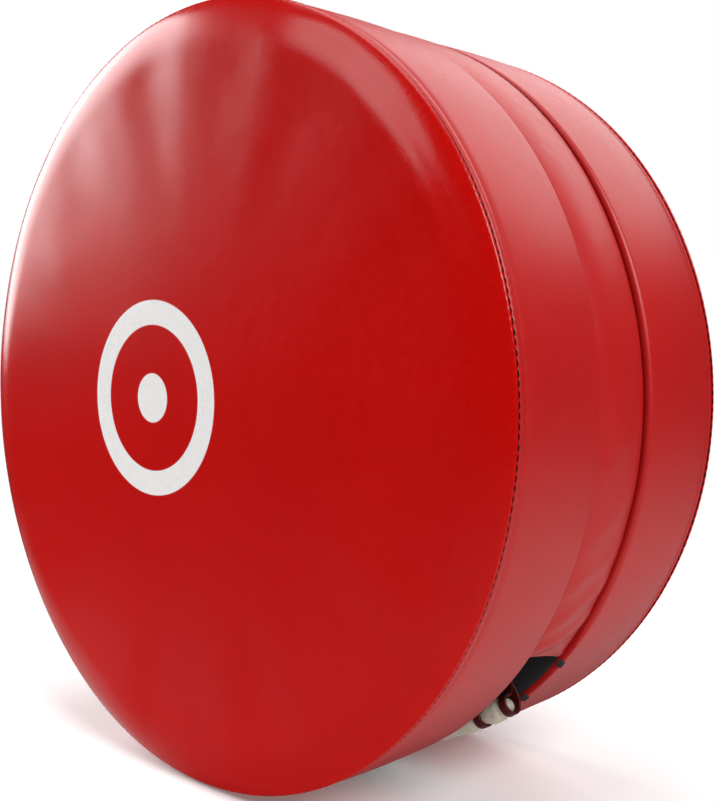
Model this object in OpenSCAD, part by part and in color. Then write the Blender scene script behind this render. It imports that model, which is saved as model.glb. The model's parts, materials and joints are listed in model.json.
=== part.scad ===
// Round double-sided strike pad: two foam discs joined by a gusset band, open at the mouth below.
// The strike faces look along -Y (front) and +Y (rear). The origin is the centre of the drum.

/* [Pads] */
// Radius of each pad at its face seam, in mm
pad_r = 200; // [150:5:240]
// Depth of each pad from its lining to its face seam
pad_t = 62; // [45:1:80]
// How far the strike face stands out of its seam
crown = 7; // [3:0.5:12]
// Width of the rounded rim of the strike face
rim_w = 24; // [18:1:40]
// Radius of the gusset's shoulder at the lining
shoulder = 8; // [5:0.5:12]
// Thickness of the coated leather skin
skin = 1.4; // [1:0.1:2]
// Share of the foam depth that is the dense strike layer
strike_share = 0.35; // [0.2:0.05:0.5]
// Share of the foam depth that is the soft layer at the lining
soft_share = 0.2; // [0.1:0.05:0.35]

/* [Gap and band] */
// Distance between the two linings
gap = 42; // [38:1:50]
// Half of the mouth's opening, in degrees each side of straight down
mouth_half = 52.5; // [40:0.5:70]
// How far the band bulges at its middle
band_bulge = 5; // [2:0.5:7]
// Thickness of the foam strip in the band
band_foam_t = 5; // [3:0.5:8]
// Length of the folded binding at each end of the band
binding_w = 8; // [5:1:14]

/* [Mouth rail] */
// Radius of the padded rail over its cover
rail_r = 6.5; // [5:0.5:9]
// Radius of the rope inside the rail
rail_core_r = 4.6; // [3:0.2:4.8]
// Sweep of the rail to each side of straight down, in degrees
rail_half = 42; // [34:0.5:46]
// Width of each red loop
loop_w = 5; // [4:0.5:8]
// Distance between the two loops at each end of the rail
loop_pitch = 19.5; // [14:0.5:26]

/* [Grip] */
// Radius of the grip sleeve
grip_r = 12; // [10:0.5:13]
// Length of the grip sleeve
grip_len = 110; // [95:5:120]
// Height of the grip above the centre of the pad
grip_z = 70; // [50:5:90]
// Distance from the grip's swing axis to its centre line
grip_reach = 20; // [18:0.5:21]

/* [Forearm strap] */
// Width of the strap along the forearm
strap_w = 40; // [30:1:50]
// Thickness of the padded strap
strap_t = 2.5; // [2:0.1:3]
// Height of the space under the strap
strap_rise = 22; // [18:1:23]
// Height of the strap's middle, from the centre of the pad
strap_z = -70; // [-90:5:-50]
// Half of the strap's length along the lining, foot to foot
strap_half = 100; // [95:1:110]

/* [Hidden] */
$fn = 96;
clear = 0.3;                                            // between pieces of different bodies
thread_r = 0.45;                                        // sewing thread
lining_t = 1.4;
band_lining_t = 1.2;
half_gap = gap / 2;
rim_rho = (rim_w * rim_w + crown * crown) / (2 * crown); // arc of the face's rim
flat_r = pad_r - rim_w;                                 // flat part of the strike face
face_d = pad_t + crown;                                 // lining to the top of the crown
seam_cut = 1;                                           // bevel that holds the face thread
foam_clear = 0.1;
hem_clear = 0.05;                                       // folded binding round the band's end
soft_d = lining_t + (face_d - skin - lining_t) * soft_share;
strike_d = face_d - skin - (face_d - skin - lining_t) * strike_share;
band_edge_r = pad_r - shoulder;
band_half = half_gap - clear;
band_rho = (band_half * band_half + band_bulge * band_bulge) / (2 * band_bulge);
band_depth = skin + band_foam_t + band_lining_t;
band_span = 360 - 2 * mouth_half;
band_start = -90 + mouth_half;
lining_seam_r = band_edge_r - 14;
rail_dip = pad_r - rail_r;                              // the rail's middle stays inside the rim
rail_end = [pad_r * sin(rail_half), -pad_r * cos(rail_half)];
rail_sag = rail_dip + rail_end[1];
rail_rho = (rail_end[0] * rail_end[0] + rail_sag * rail_sag) / (2 * rail_sag);
rail_cz = rail_rho - rail_dip;
rail_sweep = asin(rail_end[0] / rail_rho);
loop_t = 1.3;
rail_y = half_gap - rail_r - loop_t - 0.2;
loop_tab = 17;
loop_inset = 8;                                         // from the rail's end to the first loop
deg_per_mm = 180 / (PI * rail_rho);
rope_r = 5;
bend_r = rope_r + 1;                                    // the rope swells where it bends
turn_clear = 0.06;                                      // rope in its tunnels
tab_t = 1.5;
pivot_h = rope_r + tab_t + 0.1;
grip_y = half_gap - pivot_h;
grip_leg_x = grip_len / 2 + 5;
grip_foot_x = grip_len / 2 + 15;
tunnel_len = 14;
patch_t = 0.8;
tail_t = 2;
ramp_l = 18;                                            // slope from a foot up to the strap
foot_l = 24;
anchor_end = -strap_half + foot_l - 4;
tail_start = anchor_end + 3;
tail_h = strap_rise + strap_t + 2 * patch_t + 0.1;
tail_tip = 30;
tail_lift = 0.3;

// ---- helpers ----

function arc(cx, cy, r, a0, a1, n = 10) =
    [for (i = [0:n]) let (a = a0 + (a1 - a0) * i / n) [cx + r * cos(a), cy + r * sin(a)]];

function unit(v) = v / norm(v);

// Offset of point i of a path to its left, by t, with mitred corners.
function left_of(path, i, t) =
    let (
        n = len(path) - 1,
        a = unit(path[min(i + 1, n)] - path[min(i, n - 1)]),
        b = unit(path[max(i, 1)] - path[max(i - 1, 0)]),
        na = [-a[1], a[0]],
        nb = [-b[1], b[0]],
        m = unit(na + nb)
    ) path[i] + m * t / (m * na);

// Closed outline of a ribbon of thickness t on the left of a path.
function ribbon(path, t) =
    concat(path, [for (i = [len(path) - 1:-1:0]) left_of(path, i, t)]);

// Turns a pad built with its lining at z = 0 and its face upwards into place.
module front_side() {
    translate([0, -half_gap, 0]) rotate([90, 0, 0]) children();
}

module rear_side() {
    translate([0, half_gap, 0]) rotate([-90, 0, 0]) children();
}

// Stands a profile drawn as (radius, y) round the drum, from the band's start.
module around_band(a0 = 0, a1 = band_span) {
    rotate([90, 0, 0]) rotate([0, 0, band_start + a0])
        rotate_extrude(angle = a1 - a0, $fn = 180) children();
}

// Places an outline drawn as (x, height above the rear lining), with its width along Z.
module on_lining(z, width) {
    translate([0, half_gap, z - width / 2]) mirror([0, 1, 0])
        linear_extrude(width) children();
}

// ---- one pad ----

module face_rim(k) {
    polygon(concat(
        [[0, pad_t], [0, face_d - k]],
        arc(flat_r, face_d - rim_rho, rim_rho - k, 90, asin((rim_rho - crown) / (rim_rho - k)))
    ));
}

module face_panel() {
    color("firebrick") rotate_extrude() difference() {
        face_rim(0);
        face_rim(skin);
    }
}

module gusset() {
    inner = shoulder - skin;
    color("firebrick") rotate_extrude() polygon(concat(
        [[pad_r - skin, pad_t], [pad_r - seam_cut, pad_t], [pad_r, pad_t - seam_cut]],
        arc(band_edge_r, shoulder, shoulder, 0, -90),
        arc(band_edge_r, shoulder, inner, -90, 0)
    ));
}

module lining() {
    color([0.09, 0.09, 0.1]) cylinder(r = band_edge_r, h = lining_t);
}

// Half section of the space inside the cover, c clear of it.
module foam_cavity(c) {
    inner = rim_rho - skin - c;
    polygon(concat(
        [[0, lining_t + c]],
        arc(band_edge_r, shoulder, shoulder - skin - c, -90, 0),
        [[pad_r - skin - c, pad_t - 2 * c]],
        arc(flat_r, face_d - rim_rho, inner, asin((rim_rho - crown) / inner), 90),
        [[0, face_d - skin - c]]
    ));
}

module foam_layer(low, high, tint) {
    color(tint) rotate_extrude() intersection() {
        foam_cavity(foam_clear);
        translate([0, low]) square([pad_r, high - low]);
    }
}

module foam_strike() {
    foam_layer(strike_d, face_d, [0.23, 0.23, 0.25]);
}

module foam_core() {
    foam_layer(soft_d, strike_d, [0.87, 0.86, 0.82]);
}

module foam_soft() {
    foam_layer(lining_t, soft_d, [0.93, 0.88, 0.68]);
}

module thread_ring(r, d) {
    color([0.35, 0.03, 0.03]) rotate_extrude() translate([r, d]) circle(thread_r, $fn = 16);
}

module face_thread() {
    thread_ring(pad_r + 0.2, pad_t - thread_r - 0.05);
}

module lining_thread() {
    thread_ring(lining_seam_r, -thread_r - 0.02);
}

// ---- band ----

// Layer of the band between two depths below its outer surface.
module band_layer(top, bottom, half = band_half) {
    cx = band_edge_r + band_bulge - band_rho;
    a = asin(half / band_rho);
    polygon(concat(
        arc(cx - top, 0, band_rho, -a, a, 12),
        arc(cx - bottom, 0, band_rho, a, -a, 12)
    ));
}

module band_cover() {
    color("firebrick") around_band() band_layer(0, skin);
}

module band_padding() {
    color([0.87, 0.86, 0.82]) around_band() band_layer(skin, skin + band_foam_t);
}

module band_lining() {
    color([0.09, 0.09, 0.1]) around_band()
        band_layer(skin + band_foam_t, band_depth);
}

// Folded strip that wraps the raw end of the band, from its outside to its inside.
module band_binding(side) {
    over = binding_w * 180 / (PI * band_edge_r);
    fold = skin * 180 / (PI * band_edge_r);
    a = side > 0 ? 0 : band_span;
    color("firebrick") difference() {
        around_band(min(a - side * fold, a + side * over), max(a - side * fold, a + side * over))
            band_layer(-skin, band_depth + skin);
        around_band(min(a, a + 2 * side * over), max(a, a + 2 * side * over))
            band_layer(-hem_clear, band_depth + hem_clear, band_half + 2);
    }
}

module band_thread(side) {
    color([0.35, 0.03, 0.03]) around_band(3, band_span - 3)
        translate([band_edge_r + 1.2, side * (half_gap - 0.9)]) circle(thread_r, $fn = 16);
}

// ---- padded rail along the mouth ----

// Sweeps a circle centred on the rail's line between two angles from straight down.
module along_rail(a0, a1) {
    translate([0, rail_y, rail_cz]) rotate([90, 0, 0]) rotate([0, 0, -90 + a0])
        rotate_extrude(angle = a1 - a0, $fn = 180) translate([rail_rho, 0]) children();
}

module rail_rope() {
    color([0.9, 0.88, 0.8]) along_rail(-rail_sweep, rail_sweep) circle(rail_core_r, $fn = 40);
}

module rail_cover() {
    cap = 2 * deg_per_mm;
    color([0.85, 0.83, 0.76]) difference() {
        along_rail(-rail_sweep - cap, rail_sweep + cap) circle(rail_r, $fn = 48);
        along_rail(-rail_sweep, rail_sweep) circle(rail_core_r, $fn = 40);
    }
}

// One loop round the rail, with a tab that lies on the rear lining.
module rail_loop(a) {
    translate([0, rail_y, rail_cz]) rotate([0, -a, 0]) translate([-loop_w / 2, 0, -rail_rho])
        rotate([90, 0, 90]) linear_extrude(loop_w) {
            difference() {
                union() {
                    circle(rail_r + loop_t, $fn = 48);
                    translate([half_gap - rail_y - loop_t, 0]) square([loop_t, loop_tab]);
                    translate([rail_r - 1, 0]) square([half_gap - rail_y - rail_r + 1, rail_r]);
                }
                circle(rail_r + 0.02, $fn = 48);
            }
        }
}

module rail_loops(side) {
    color([0.55, 0.05, 0.05]) for (i = [0, 1])
        rail_loop(side * (rail_sweep - (loop_inset + i * loop_pitch) * deg_per_mm));
}

// ---- swinging grip ----

module grip_rope() {
    leg = [grip_foot_x - grip_leg_x, grip_reach];
    color([0.15, 0.15, 0.16]) translate([0, grip_y, grip_z]) {
        translate([-grip_leg_x, -grip_reach, 0]) rotate([0, 90, 0])
            cylinder(r = rope_r, h = 2 * grip_leg_x, $fn = 40);
        for (s = [-1, 1]) {
            translate([s * grip_leg_x, -grip_reach, 0]) sphere(bend_r, $fn = 40);
            translate([s * grip_foot_x, 0, 0]) sphere(bend_r, $fn = 40);
            translate([s * grip_leg_x, -grip_reach, 0])
                rotate([-90, 0, s * -atan2(leg[0], leg[1])])
                    cylinder(r = rope_r, h = norm(leg), $fn = 40);
            translate([s * grip_foot_x, 0, 0]) rotate([0, s * 90, 0])
                cylinder(r = rope_r, h = tunnel_len + 6, $fn = 40);
        }
    }
}

module grip_sleeve() {
    color([0.1, 0.1, 0.11]) translate([-grip_len / 2, grip_y - grip_reach, grip_z])
        rotate([0, 90, 0]) difference() {
            cylinder(r = grip_r, h = grip_len, $fn = 64);
            translate([0, 0, -1]) cylinder(r = rope_r + 0.02, h = grip_len + 2, $fn = 40);
        }
}

// Stitched-down tab with the tunnel that the end of the grip's rope turns in.
module grip_tab(side) {
    base_l = tunnel_len + 16;
    base_w = 34;
    color("firebrick") translate([side * (grip_foot_x + 5), grip_y, grip_z]) difference() {
        union() {
            rotate([0, side * 90, 0]) cylinder(r = rope_r + tab_t, h = tunnel_len, $fn = 48);
            translate([min(0, side * base_l), pivot_h - tab_t, -base_w / 2])
                cube([base_l, tab_t, base_w]);
            translate([min(0, side * tunnel_len), 0, -rope_r - tab_t])
                cube([tunnel_len, pivot_h, 2 * (rope_r + tab_t)]);
        }
        translate([-side, 0, 0]) rotate([0, side * 90, 0])
            cylinder(r = rope_r + turn_clear, h = base_l + 8, $fn = 40);
    }
}

// ---- forearm strap ----

// Strap sewn down at its right foot, which stands off the lining for the forearm.
module strap_band() {
    color("firebrick") on_lining(strap_z, strap_w) polygon(ribbon([
        [-40, strap_rise], [strap_half - foot_l - ramp_l, strap_rise],
        [strap_half - foot_l, 0], [strap_half, 0]
    ], strap_t));
}

module strap_loop_patch() {
    color([0.12, 0.12, 0.13]) on_lining(strap_z, strap_w - 6)
        translate([-38, strap_rise + strap_t]) square([88, patch_t]);
}

module strap_patch_right() {
    color([0.12, 0.12, 0.13]) on_lining(strap_z, strap_w + 8)
        translate([strap_half - foot_l + 4, strap_t]) square([foot_l, patch_t]);
}

// Sewn-down end of the tail's webbing.
module strap_anchor() {
    color([0.12, 0.12, 0.13]) on_lining(strap_z, strap_w)
        translate([-strap_half, 0]) square([anchor_end + strap_half, tail_t]);
}

module strap_patch_left() {
    color([0.12, 0.12, 0.13]) on_lining(strap_z, strap_w + 8)
        translate([-strap_half - 3, tail_t]) square([anchor_end + strap_half + 2, patch_t]);
}

// Free end of the webbing, which laps over the strap and peels off it.
module strap_tail() {
    color([0.12, 0.12, 0.13]) on_lining(strap_z, strap_w - 2) polygon(ribbon([
        [tail_start, tail_lift], [tail_start + ramp_l, tail_h], [tail_tip, tail_h]
    ], tail_t));
}

module strap_hook_patch() {
    color([0.2, 0.2, 0.21]) on_lining(strap_z, strap_w - 6)
        translate([-34, tail_h - patch_t]) square([tail_tip + 30, patch_t]);
}

// ---- assembly ----

front_side() face_panel();  // front_face_panel
front_side() gusset();  // front_gusset
front_side() lining();  // front_lining
front_side() foam_strike();  // front_foam_strike
front_side() foam_core();  // front_foam_core
front_side() foam_soft();  // front_foam_soft
front_side() face_thread();  // front_face_thread
front_side() lining_thread();  // front_lining_thread
rear_side() face_panel();  // rear_face_panel
rear_side() gusset();  // rear_gusset
rear_side() lining();  // rear_lining
rear_side() foam_strike();  // rear_foam_strike
rear_side() foam_core();  // rear_foam_core
rear_side() foam_soft();  // rear_foam_soft
rear_side() face_thread();  // rear_face_thread
rear_side() lining_thread();  // rear_lining_thread
band_cover();
band_padding();
band_lining();
band_binding(1);  // band_binding_right
band_binding(-1);  // band_binding_left
band_thread(1);  // band_thread_front
band_thread(-1);  // band_thread_rear
rail_cover();
rail_rope();
rail_loops(1);  // rail_loops_right
rail_loops(-1);  // rail_loops_left
grip_sleeve();
grip_rope();
grip_tab(1);  // grip_tab_right
grip_tab(-1);  // grip_tab_left
strap_band();
strap_loop_patch();
strap_patch_right();
strap_anchor();
strap_patch_left();
strap_tail();
strap_hook_patch();
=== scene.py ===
"""Looks of a round double-faced strike pad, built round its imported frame.

Lengths are in metres. The strike faces look along -Y and +Y, Z is up, and the mouth is at the bottom.
A place on the drum is given by its angle from +X towards +Z, its radius, and its depth from a lining.
"""

import json
import logging
import math
from dataclasses import dataclass, field
from enum import Enum
from typing import Callable, Sequence

import bmesh
import bpy
import numpy as np
from mathutils import Matrix, Vector


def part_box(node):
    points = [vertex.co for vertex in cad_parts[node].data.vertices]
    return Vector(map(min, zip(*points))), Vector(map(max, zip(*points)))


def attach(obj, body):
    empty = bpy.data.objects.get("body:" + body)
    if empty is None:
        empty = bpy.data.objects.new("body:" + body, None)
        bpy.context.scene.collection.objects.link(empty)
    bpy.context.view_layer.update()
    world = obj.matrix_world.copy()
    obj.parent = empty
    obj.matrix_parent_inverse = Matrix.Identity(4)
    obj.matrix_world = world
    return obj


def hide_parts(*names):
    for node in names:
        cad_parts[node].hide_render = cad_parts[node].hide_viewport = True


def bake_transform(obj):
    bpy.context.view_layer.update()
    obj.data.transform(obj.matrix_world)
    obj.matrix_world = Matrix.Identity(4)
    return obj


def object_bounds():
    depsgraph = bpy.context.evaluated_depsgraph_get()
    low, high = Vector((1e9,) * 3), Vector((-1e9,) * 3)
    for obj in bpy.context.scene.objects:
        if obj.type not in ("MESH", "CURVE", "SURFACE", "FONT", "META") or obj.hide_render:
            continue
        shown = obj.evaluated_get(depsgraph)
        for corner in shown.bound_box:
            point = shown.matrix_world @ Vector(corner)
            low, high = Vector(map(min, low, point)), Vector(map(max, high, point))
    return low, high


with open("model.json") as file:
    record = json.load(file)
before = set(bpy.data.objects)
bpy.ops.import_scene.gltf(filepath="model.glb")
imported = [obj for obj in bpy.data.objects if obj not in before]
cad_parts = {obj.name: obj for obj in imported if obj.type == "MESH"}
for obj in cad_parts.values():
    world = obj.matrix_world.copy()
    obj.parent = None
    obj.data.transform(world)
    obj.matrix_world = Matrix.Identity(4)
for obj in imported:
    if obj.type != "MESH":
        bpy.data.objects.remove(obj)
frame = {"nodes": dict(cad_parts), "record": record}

CAD_BOX = [list(map(float, corner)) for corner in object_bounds()]
LOG = logging.getLogger("strike_pad")
MM = 0.001
Array = np.ndarray


# ---------------------------------------------------------------- layout

class Side(Enum):
    """A pad of the drum; the value is the sign of its Y."""

    FRONT = -1
    REAR = 1

    @property
    def label(self) -> str:
        """The pad's name in the CAD nodes."""
        return self.name.lower()

    @property
    def body(self) -> str:
        """The body that the pad rides on."""
        return f"{self.label}_pad"


@dataclass(frozen=True)
class Layout:
    """The drum's driving sizes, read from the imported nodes."""

    radius: float
    half_gap: float
    seam_depth: float
    face_depth: float
    band_half: float
    rail_y: float
    rail_radius: float
    strap_z: float
    grip_z: float

    @classmethod
    def from_frame(cls) -> "Layout":
        """Reads the sizes off the CAD nodes' boxes."""
        gusset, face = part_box("front_gusset"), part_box("front_face_panel")
        rail, strap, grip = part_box("rail_rope"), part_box("strap_band"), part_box("grip_sleeve")
        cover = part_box("rail_cover")
        gap = -gusset[1][1]
        return cls(
            radius=gusset[1][2],
            half_gap=gap,
            seam_depth=-gusset[0][1] - gap,
            face_depth=-face[0][1] - gap,
            band_half=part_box("band_cover")[1][1],
            rail_y=(rail[0][1] + rail[1][1]) / 2,
            rail_radius=(cover[1][1] - cover[0][1]) / 2,
            strap_z=(strap[0][2] + strap[1][2]) / 2,
            grip_z=(grip[0][2] + grip[1][2]) / 2,
        )


def smoothstep(x: Array, low: float, high: float) -> Array:
    """Rises smoothly from 0 at low to 1 at high; low may be the larger.

    Args:
        x: the values to map.
        low: where the result is 0.
        high: where the result is 1.

    Returns:
        The smooth ramp at each value.
    """
    t = np.clip((x - low) / (high - low), 0.0, 1.0)
    return t * t * (3 - 2 * t)


class ValueNoise:
    """Smooth repeatable noise from -1 to 1 over points in space."""

    SIZE = 64

    def __init__(self, seed: int) -> None:
        """Draws the table of values.

        Args:
            seed: the table's random seed.
        """
        self.table = np.random.default_rng(seed).uniform(-1, 1, (self.SIZE,) * 3)

    def __call__(self, x: Array, y: Array, z: Array) -> Array:
        """The noise at points whose cells are one unit wide."""
        p = np.stack(np.broadcast_arrays(x, y, z)).astype(float)
        cell = np.floor(p).astype(int)
        f = p - cell
        f = f * f * (3 - 2 * f)
        total = np.zeros(p.shape[1:])
        for dx in (0, 1):
            for dy in (0, 1):
                for dz in (0, 1):
                    weight = (
                        (f[0] if dx else 1 - f[0])
                        * (f[1] if dy else 1 - f[1])
                        * (f[2] if dz else 1 - f[2])
                    )
                    i, j, k = ((cell[n] + d) % self.SIZE for n, d in enumerate((dx, dy, dz)))
                    total += weight * self.table[i, j, k]
        return total


# ---------------------------------------------------------------- meshes

class Shape:
    """Mesh builders that all leave the object at the origin with its place in its mesh."""

    @staticmethod
    def from_data(name: str, verts: Array, faces: Sequence, close: bool = True) -> bpy.types.Object:
        """Makes a smooth-shaded mesh object.

        Args:
            name: the object's name.
            verts: vertex positions, one row each.
            faces: vertex numbers of each face.
            close: merges doubled vertices and turns the faces outwards.

        Returns:
            The new object.
        """
        mesh = bpy.data.meshes.new(name)
        mesh.from_pydata(np.asarray(verts, float).tolist(), [], [list(map(int, f)) for f in faces])
        if close:
            bm = bmesh.new()
            bm.from_mesh(mesh)
            bmesh.ops.remove_doubles(bm, verts=bm.verts, dist=1e-6)
            bmesh.ops.recalc_face_normals(bm, faces=bm.faces)
            bm.to_mesh(mesh)
            bm.free()
        mesh.shade_smooth()
        obj = bpy.data.objects.new(name, mesh)
        bpy.context.scene.collection.objects.link(obj)
        return obj

    @staticmethod
    def grid(
        name: str, points: Array, wrap_u: bool = False, wrap_v: bool = False, cap_u: bool = False
    ) -> bpy.types.Object:
        """Skins a grid of points.

        Args:
            name: the object's name.
            points: positions as an array of shape (nu, nv, 3).
            wrap_u: joins the last row to the first.
            wrap_v: joins the last column to the first.
            cap_u: closes the first and last rows with a face each.

        Returns:
            The new object.
        """
        nu, nv = points.shape[:2]
        index = np.arange(nu * nv).reshape(nu, nv)
        rows = index if not wrap_u else np.vstack([index, index[:1]])
        rows = rows if not wrap_v else np.hstack([rows, rows[:, :1]])
        quads = np.stack(
            [rows[:-1, :-1], rows[1:, :-1], rows[1:, 1:], rows[:-1, 1:]], axis=-1
        ).reshape(-1, 4)
        faces = quads.tolist()
        if cap_u:
            faces += [index[0].tolist(), index[-1][::-1].tolist()]
        return Shape.from_data(name, points.reshape(-1, 3), faces)

    @staticmethod
    def sweep(
        name: str, path: Array, section: Array, normal: Array, scale: Array | None = None, closed: bool = False
    ) -> bpy.types.Object:
        """Sweeps a closed section along a path.

        Args:
            name: the object's name.
            path: points of the path, shape (n, 3).
            section: section points as (across, along the normal), shape (m, 2).
            normal: the section's second direction at each path point, shape (n, 3) or (3,).
            scale: the section's size at each path point, shape (n,) or (n, 2).
            closed: joins the path's end to its start.

        Returns:
            The new object, capped when it isn't closed.
        """
        n = len(path)
        if closed:
            tangent = np.roll(path, -1, 0) - np.roll(path, 1, 0)
        else:
            tangent = np.gradient(path, axis=0)
        tangent /= np.linalg.norm(tangent, axis=1, keepdims=True)
        up = np.broadcast_to(normal, (n, 3)).astype(float)
        up = up - (up * tangent).sum(1, keepdims=True) * tangent
        up /= np.linalg.norm(up, axis=1, keepdims=True)
        across = np.cross(tangent, up)
        size = np.ones((n, 2)) if scale is None else np.broadcast_to(np.reshape(scale, (n, -1)), (n, 2))
        points = (
            path[:, None]
            + across[:, None] * (section[None, :, 0] * size[:, :1])[..., None]
            + up[:, None] * (section[None, :, 1] * size[:, 1:])[..., None]
        )
        return Shape.grid(name, points, wrap_u=closed, wrap_v=True, cap_u=not closed)

    @staticmethod
    def ring(count: int, radius: float = 1.0) -> Array:
        """A round section of that many points."""
        a = np.linspace(0, 2 * math.pi, count, endpoint=False)
        return np.stack([np.cos(a), np.sin(a)], 1) * radius

    @staticmethod
    def slab(width: float, depth: float, corner: float, steps: int = 4, side: int = 6) -> Array:
        """A rectangular section with rounded corners, centred on its path."""
        points = []
        for k, (sx, sy) in enumerate(((1, 1), (-1, 1), (-1, -1), (1, -1))):
            for a in np.linspace(k * 90, k * 90 + 90, steps + 1):
                t = math.radians(a)
                points.append((
                    sx * (width / 2 - corner) + corner * math.cos(t),
                    sy * (depth / 2 - corner) + corner * math.sin(t),
                ))
            if k in (0, 2) and side:
                run = np.linspace(1, -1, side + 2)[1:-1] * (width / 2 - corner)
                points += [(x if k == 0 else -x, sy * depth / 2) for x in run]
        return np.array(points)

    @staticmethod
    def join(name: str, parts: Sequence[bpy.types.Object]) -> bpy.types.Object:
        """Joins objects into one mesh and keeps their material slots.

        Args:
            name: the joined object's name.
            parts: the objects, which are used up.

        Returns:
            The joined object.
        """
        verts, faces, base = [], [], 0
        for part in parts:
            verts += [tuple(v.co) for v in part.data.vertices]
            faces += [[base + i for i in p.vertices] for p in part.data.polygons]
            base += len(part.data.vertices)
            bpy.data.objects.remove(part)
        return Shape.from_data(name, np.array(verts), faces, close=False)


# ---------------------------------------------------------------- shader expressions

class Sock:
    """A shader socket that takes part in Python expressions."""

    def __init__(self, tree: "Tree", socket: bpy.types.NodeSocket) -> None:
        """Wraps an output socket of a node in tree."""
        self.tree, self.socket = tree, socket

    def _math(self, operation: str, *values: "Sock | float") -> "Sock":
        """Adds a Math node over values."""
        return self.tree.node("ShaderNodeMath", {"operation": operation}, dict(enumerate(values)))[0]

    def __add__(self, other: "Sock | float") -> "Sock":
        """self + other."""
        return self._math("ADD", self, other)

    __radd__ = __add__

    def __mul__(self, other: "Sock | float") -> "Sock":
        """self * other."""
        return self._math("MULTIPLY", self, other)

    __rmul__ = __mul__

    def __sub__(self, other: "Sock | float") -> "Sock":
        """self - other."""
        return self._math("SUBTRACT", self, other)

    def __rsub__(self, other: float) -> "Sock":
        """other - self."""
        return self._math("SUBTRACT", other, self)

    def __neg__(self) -> "Sock":
        """-self."""
        return self._math("MULTIPLY", self, -1.0)

    def __truediv__(self, other: "Sock | float") -> "Sock":
        """self / other."""
        return self._math("DIVIDE", self, other)

    def __pow__(self, other: float) -> "Sock":
        """self ** other."""
        return self._math("POWER", self, other)

    def __abs__(self) -> "Sock":
        """The absolute value."""
        return self._math("ABSOLUTE", self)

    def sin(self) -> "Sock":
        """The sine, in radians."""
        return self._math("SINE", self)

    def root(self) -> "Sock":
        """The square root."""
        return self._math("SQRT", self)

    def most(self, other: "Sock | float") -> "Sock":
        """The higher of two values."""
        return self._math("MAXIMUM", self, other)

    def ramp(self, low: float, high: float) -> "Sock":
        """Rises smoothly from 0 at low to 1 at high."""
        inputs = {"Value": self, "From Min": low, "From Max": high}
        return self.tree.node("ShaderNodeMapRange", {"interpolation_type": "SMOOTHSTEP"}, inputs)[0]


class Tree:
    """A material's or a world's node tree, made node by node."""

    def __init__(self, name: str, world: bpy.types.World | None = None) -> None:
        """Empties the tree of the world, or of a new material where there is none."""
        self.material = world or bpy.data.materials.new(name)
        self.material.use_nodes = True
        self.nodes = self.material.node_tree.nodes
        self.links = self.material.node_tree.links
        self.nodes.clear()

    def node(self, kind: str, settings: dict | None = None, inputs: dict | None = None) -> list[Sock]:
        """Adds a node.

        Args:
            kind: the node's type name.
            settings: attributes, set before the inputs.
            inputs: values or Socks by socket name or number.

        Returns:
            The node's enabled outputs.
        """
        made = self.nodes.new(kind)
        for key, value in (settings or {}).items():
            setattr(made, key, value)
        for key, value in (inputs or {}).items():
            target = made.inputs[key]
            if isinstance(value, Sock):
                self.links.new(value.socket, target)
            else:
                target.default_value = value
        return [Sock(self, out) for out in made.outputs if out.enabled]

    def place(self, scale: Sequence[float] = (1, 1, 1), turn: Sequence[float] = (0, 0, 0)) -> Sock:
        """Object coordinates, scaled and turned."""
        where = self.node("ShaderNodeTexCoord")[3]
        return self.node("ShaderNodeMapping", {}, {"Vector": where, "Scale": scale, "Rotation": turn})[0]

    def axes(self, vector: Sock) -> list[Sock]:
        """The three parts of a vector."""
        return self.node("ShaderNodeSeparateXYZ", {}, {0: vector})

    def noise(self, where: Sock, scale: float, detail: float = 2.0, rough: float = 0.5) -> Sock:
        """A noise value from 0 to 1."""
        inputs = {"Vector": where, "Scale": scale, "Detail": detail, "Roughness": rough}
        return self.node("ShaderNodeTexNoise", {}, inputs)[0]

    def cells(self, where: Sock, scale: float, feature: str = "F1") -> Sock:
        """Distance inside Voronoi cells."""
        return self.node("ShaderNodeTexVoronoi", {"feature": feature}, {"Vector": where, "Scale": scale})[0]

    def mix(self, factor: "Sock | float", low: Sequence[float] | Sock, high: Sequence[float] | Sock) -> Sock:
        """A colour between low and high."""
        made = self.nodes.new("ShaderNodeMix")
        made.data_type = "RGBA"
        for name, value in (("Factor_Float", factor), ("A_Color", low), ("B_Color", high)):
            target = next(s for s in made.inputs if s.identifier == name)
            if isinstance(value, Sock):
                self.links.new(value.socket, target)
            elif name == "Factor_Float":
                target.default_value = value
            else:
                target.default_value = (*value, 1.0)
        return Sock(self, next(s for s in made.outputs if s.identifier == "Result_Color"))

    def bump(self, height: Sock, distance: float, strength: float = 1.0, under: Sock | None = None) -> Sock:
        """A normal raised by height times distance."""
        inputs = {"Height": height, "Distance": distance, "Strength": strength}
        if under is not None:
            inputs["Normal"] = under
        return self.node("ShaderNodeBump", {}, inputs)[0]

    def finish(self, **inputs: "Sock | float | Sequence[float]") -> bpy.types.Material:
        """Ends the tree in a Principled shader; names use underscores for spaces."""
        named = {key.replace("_", " "): value for key, value in inputs.items()}
        shader = self.node("ShaderNodeBsdfPrincipled", {}, named)[0]
        self.node("ShaderNodeOutputMaterial", {}, {"Surface": shader})
        return self.material


# ---------------------------------------------------------------- finishes

Color = tuple[float, float, float]


@dataclass(frozen=True)
class Target:
    """A plain printed ring and dot on a strike face."""

    x: float
    z: float
    ring: float
    line: float
    dot: float
    ink: Color = (0.80, 0.79, 0.78)

    def mask(self, tree: Tree) -> Sock:
        """1 inside the print, 0 outside."""
        x, _, z = tree.axes(tree.place())
        r = ((x - self.x) ** 2 + (z - self.z) ** 2).root()
        edge = 0.25 * MM
        ring = abs(r - self.ring).ramp(self.line / 2 + edge, self.line / 2 - edge)
        return ring.most(r.ramp(self.dot + edge, self.dot - edge))


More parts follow.
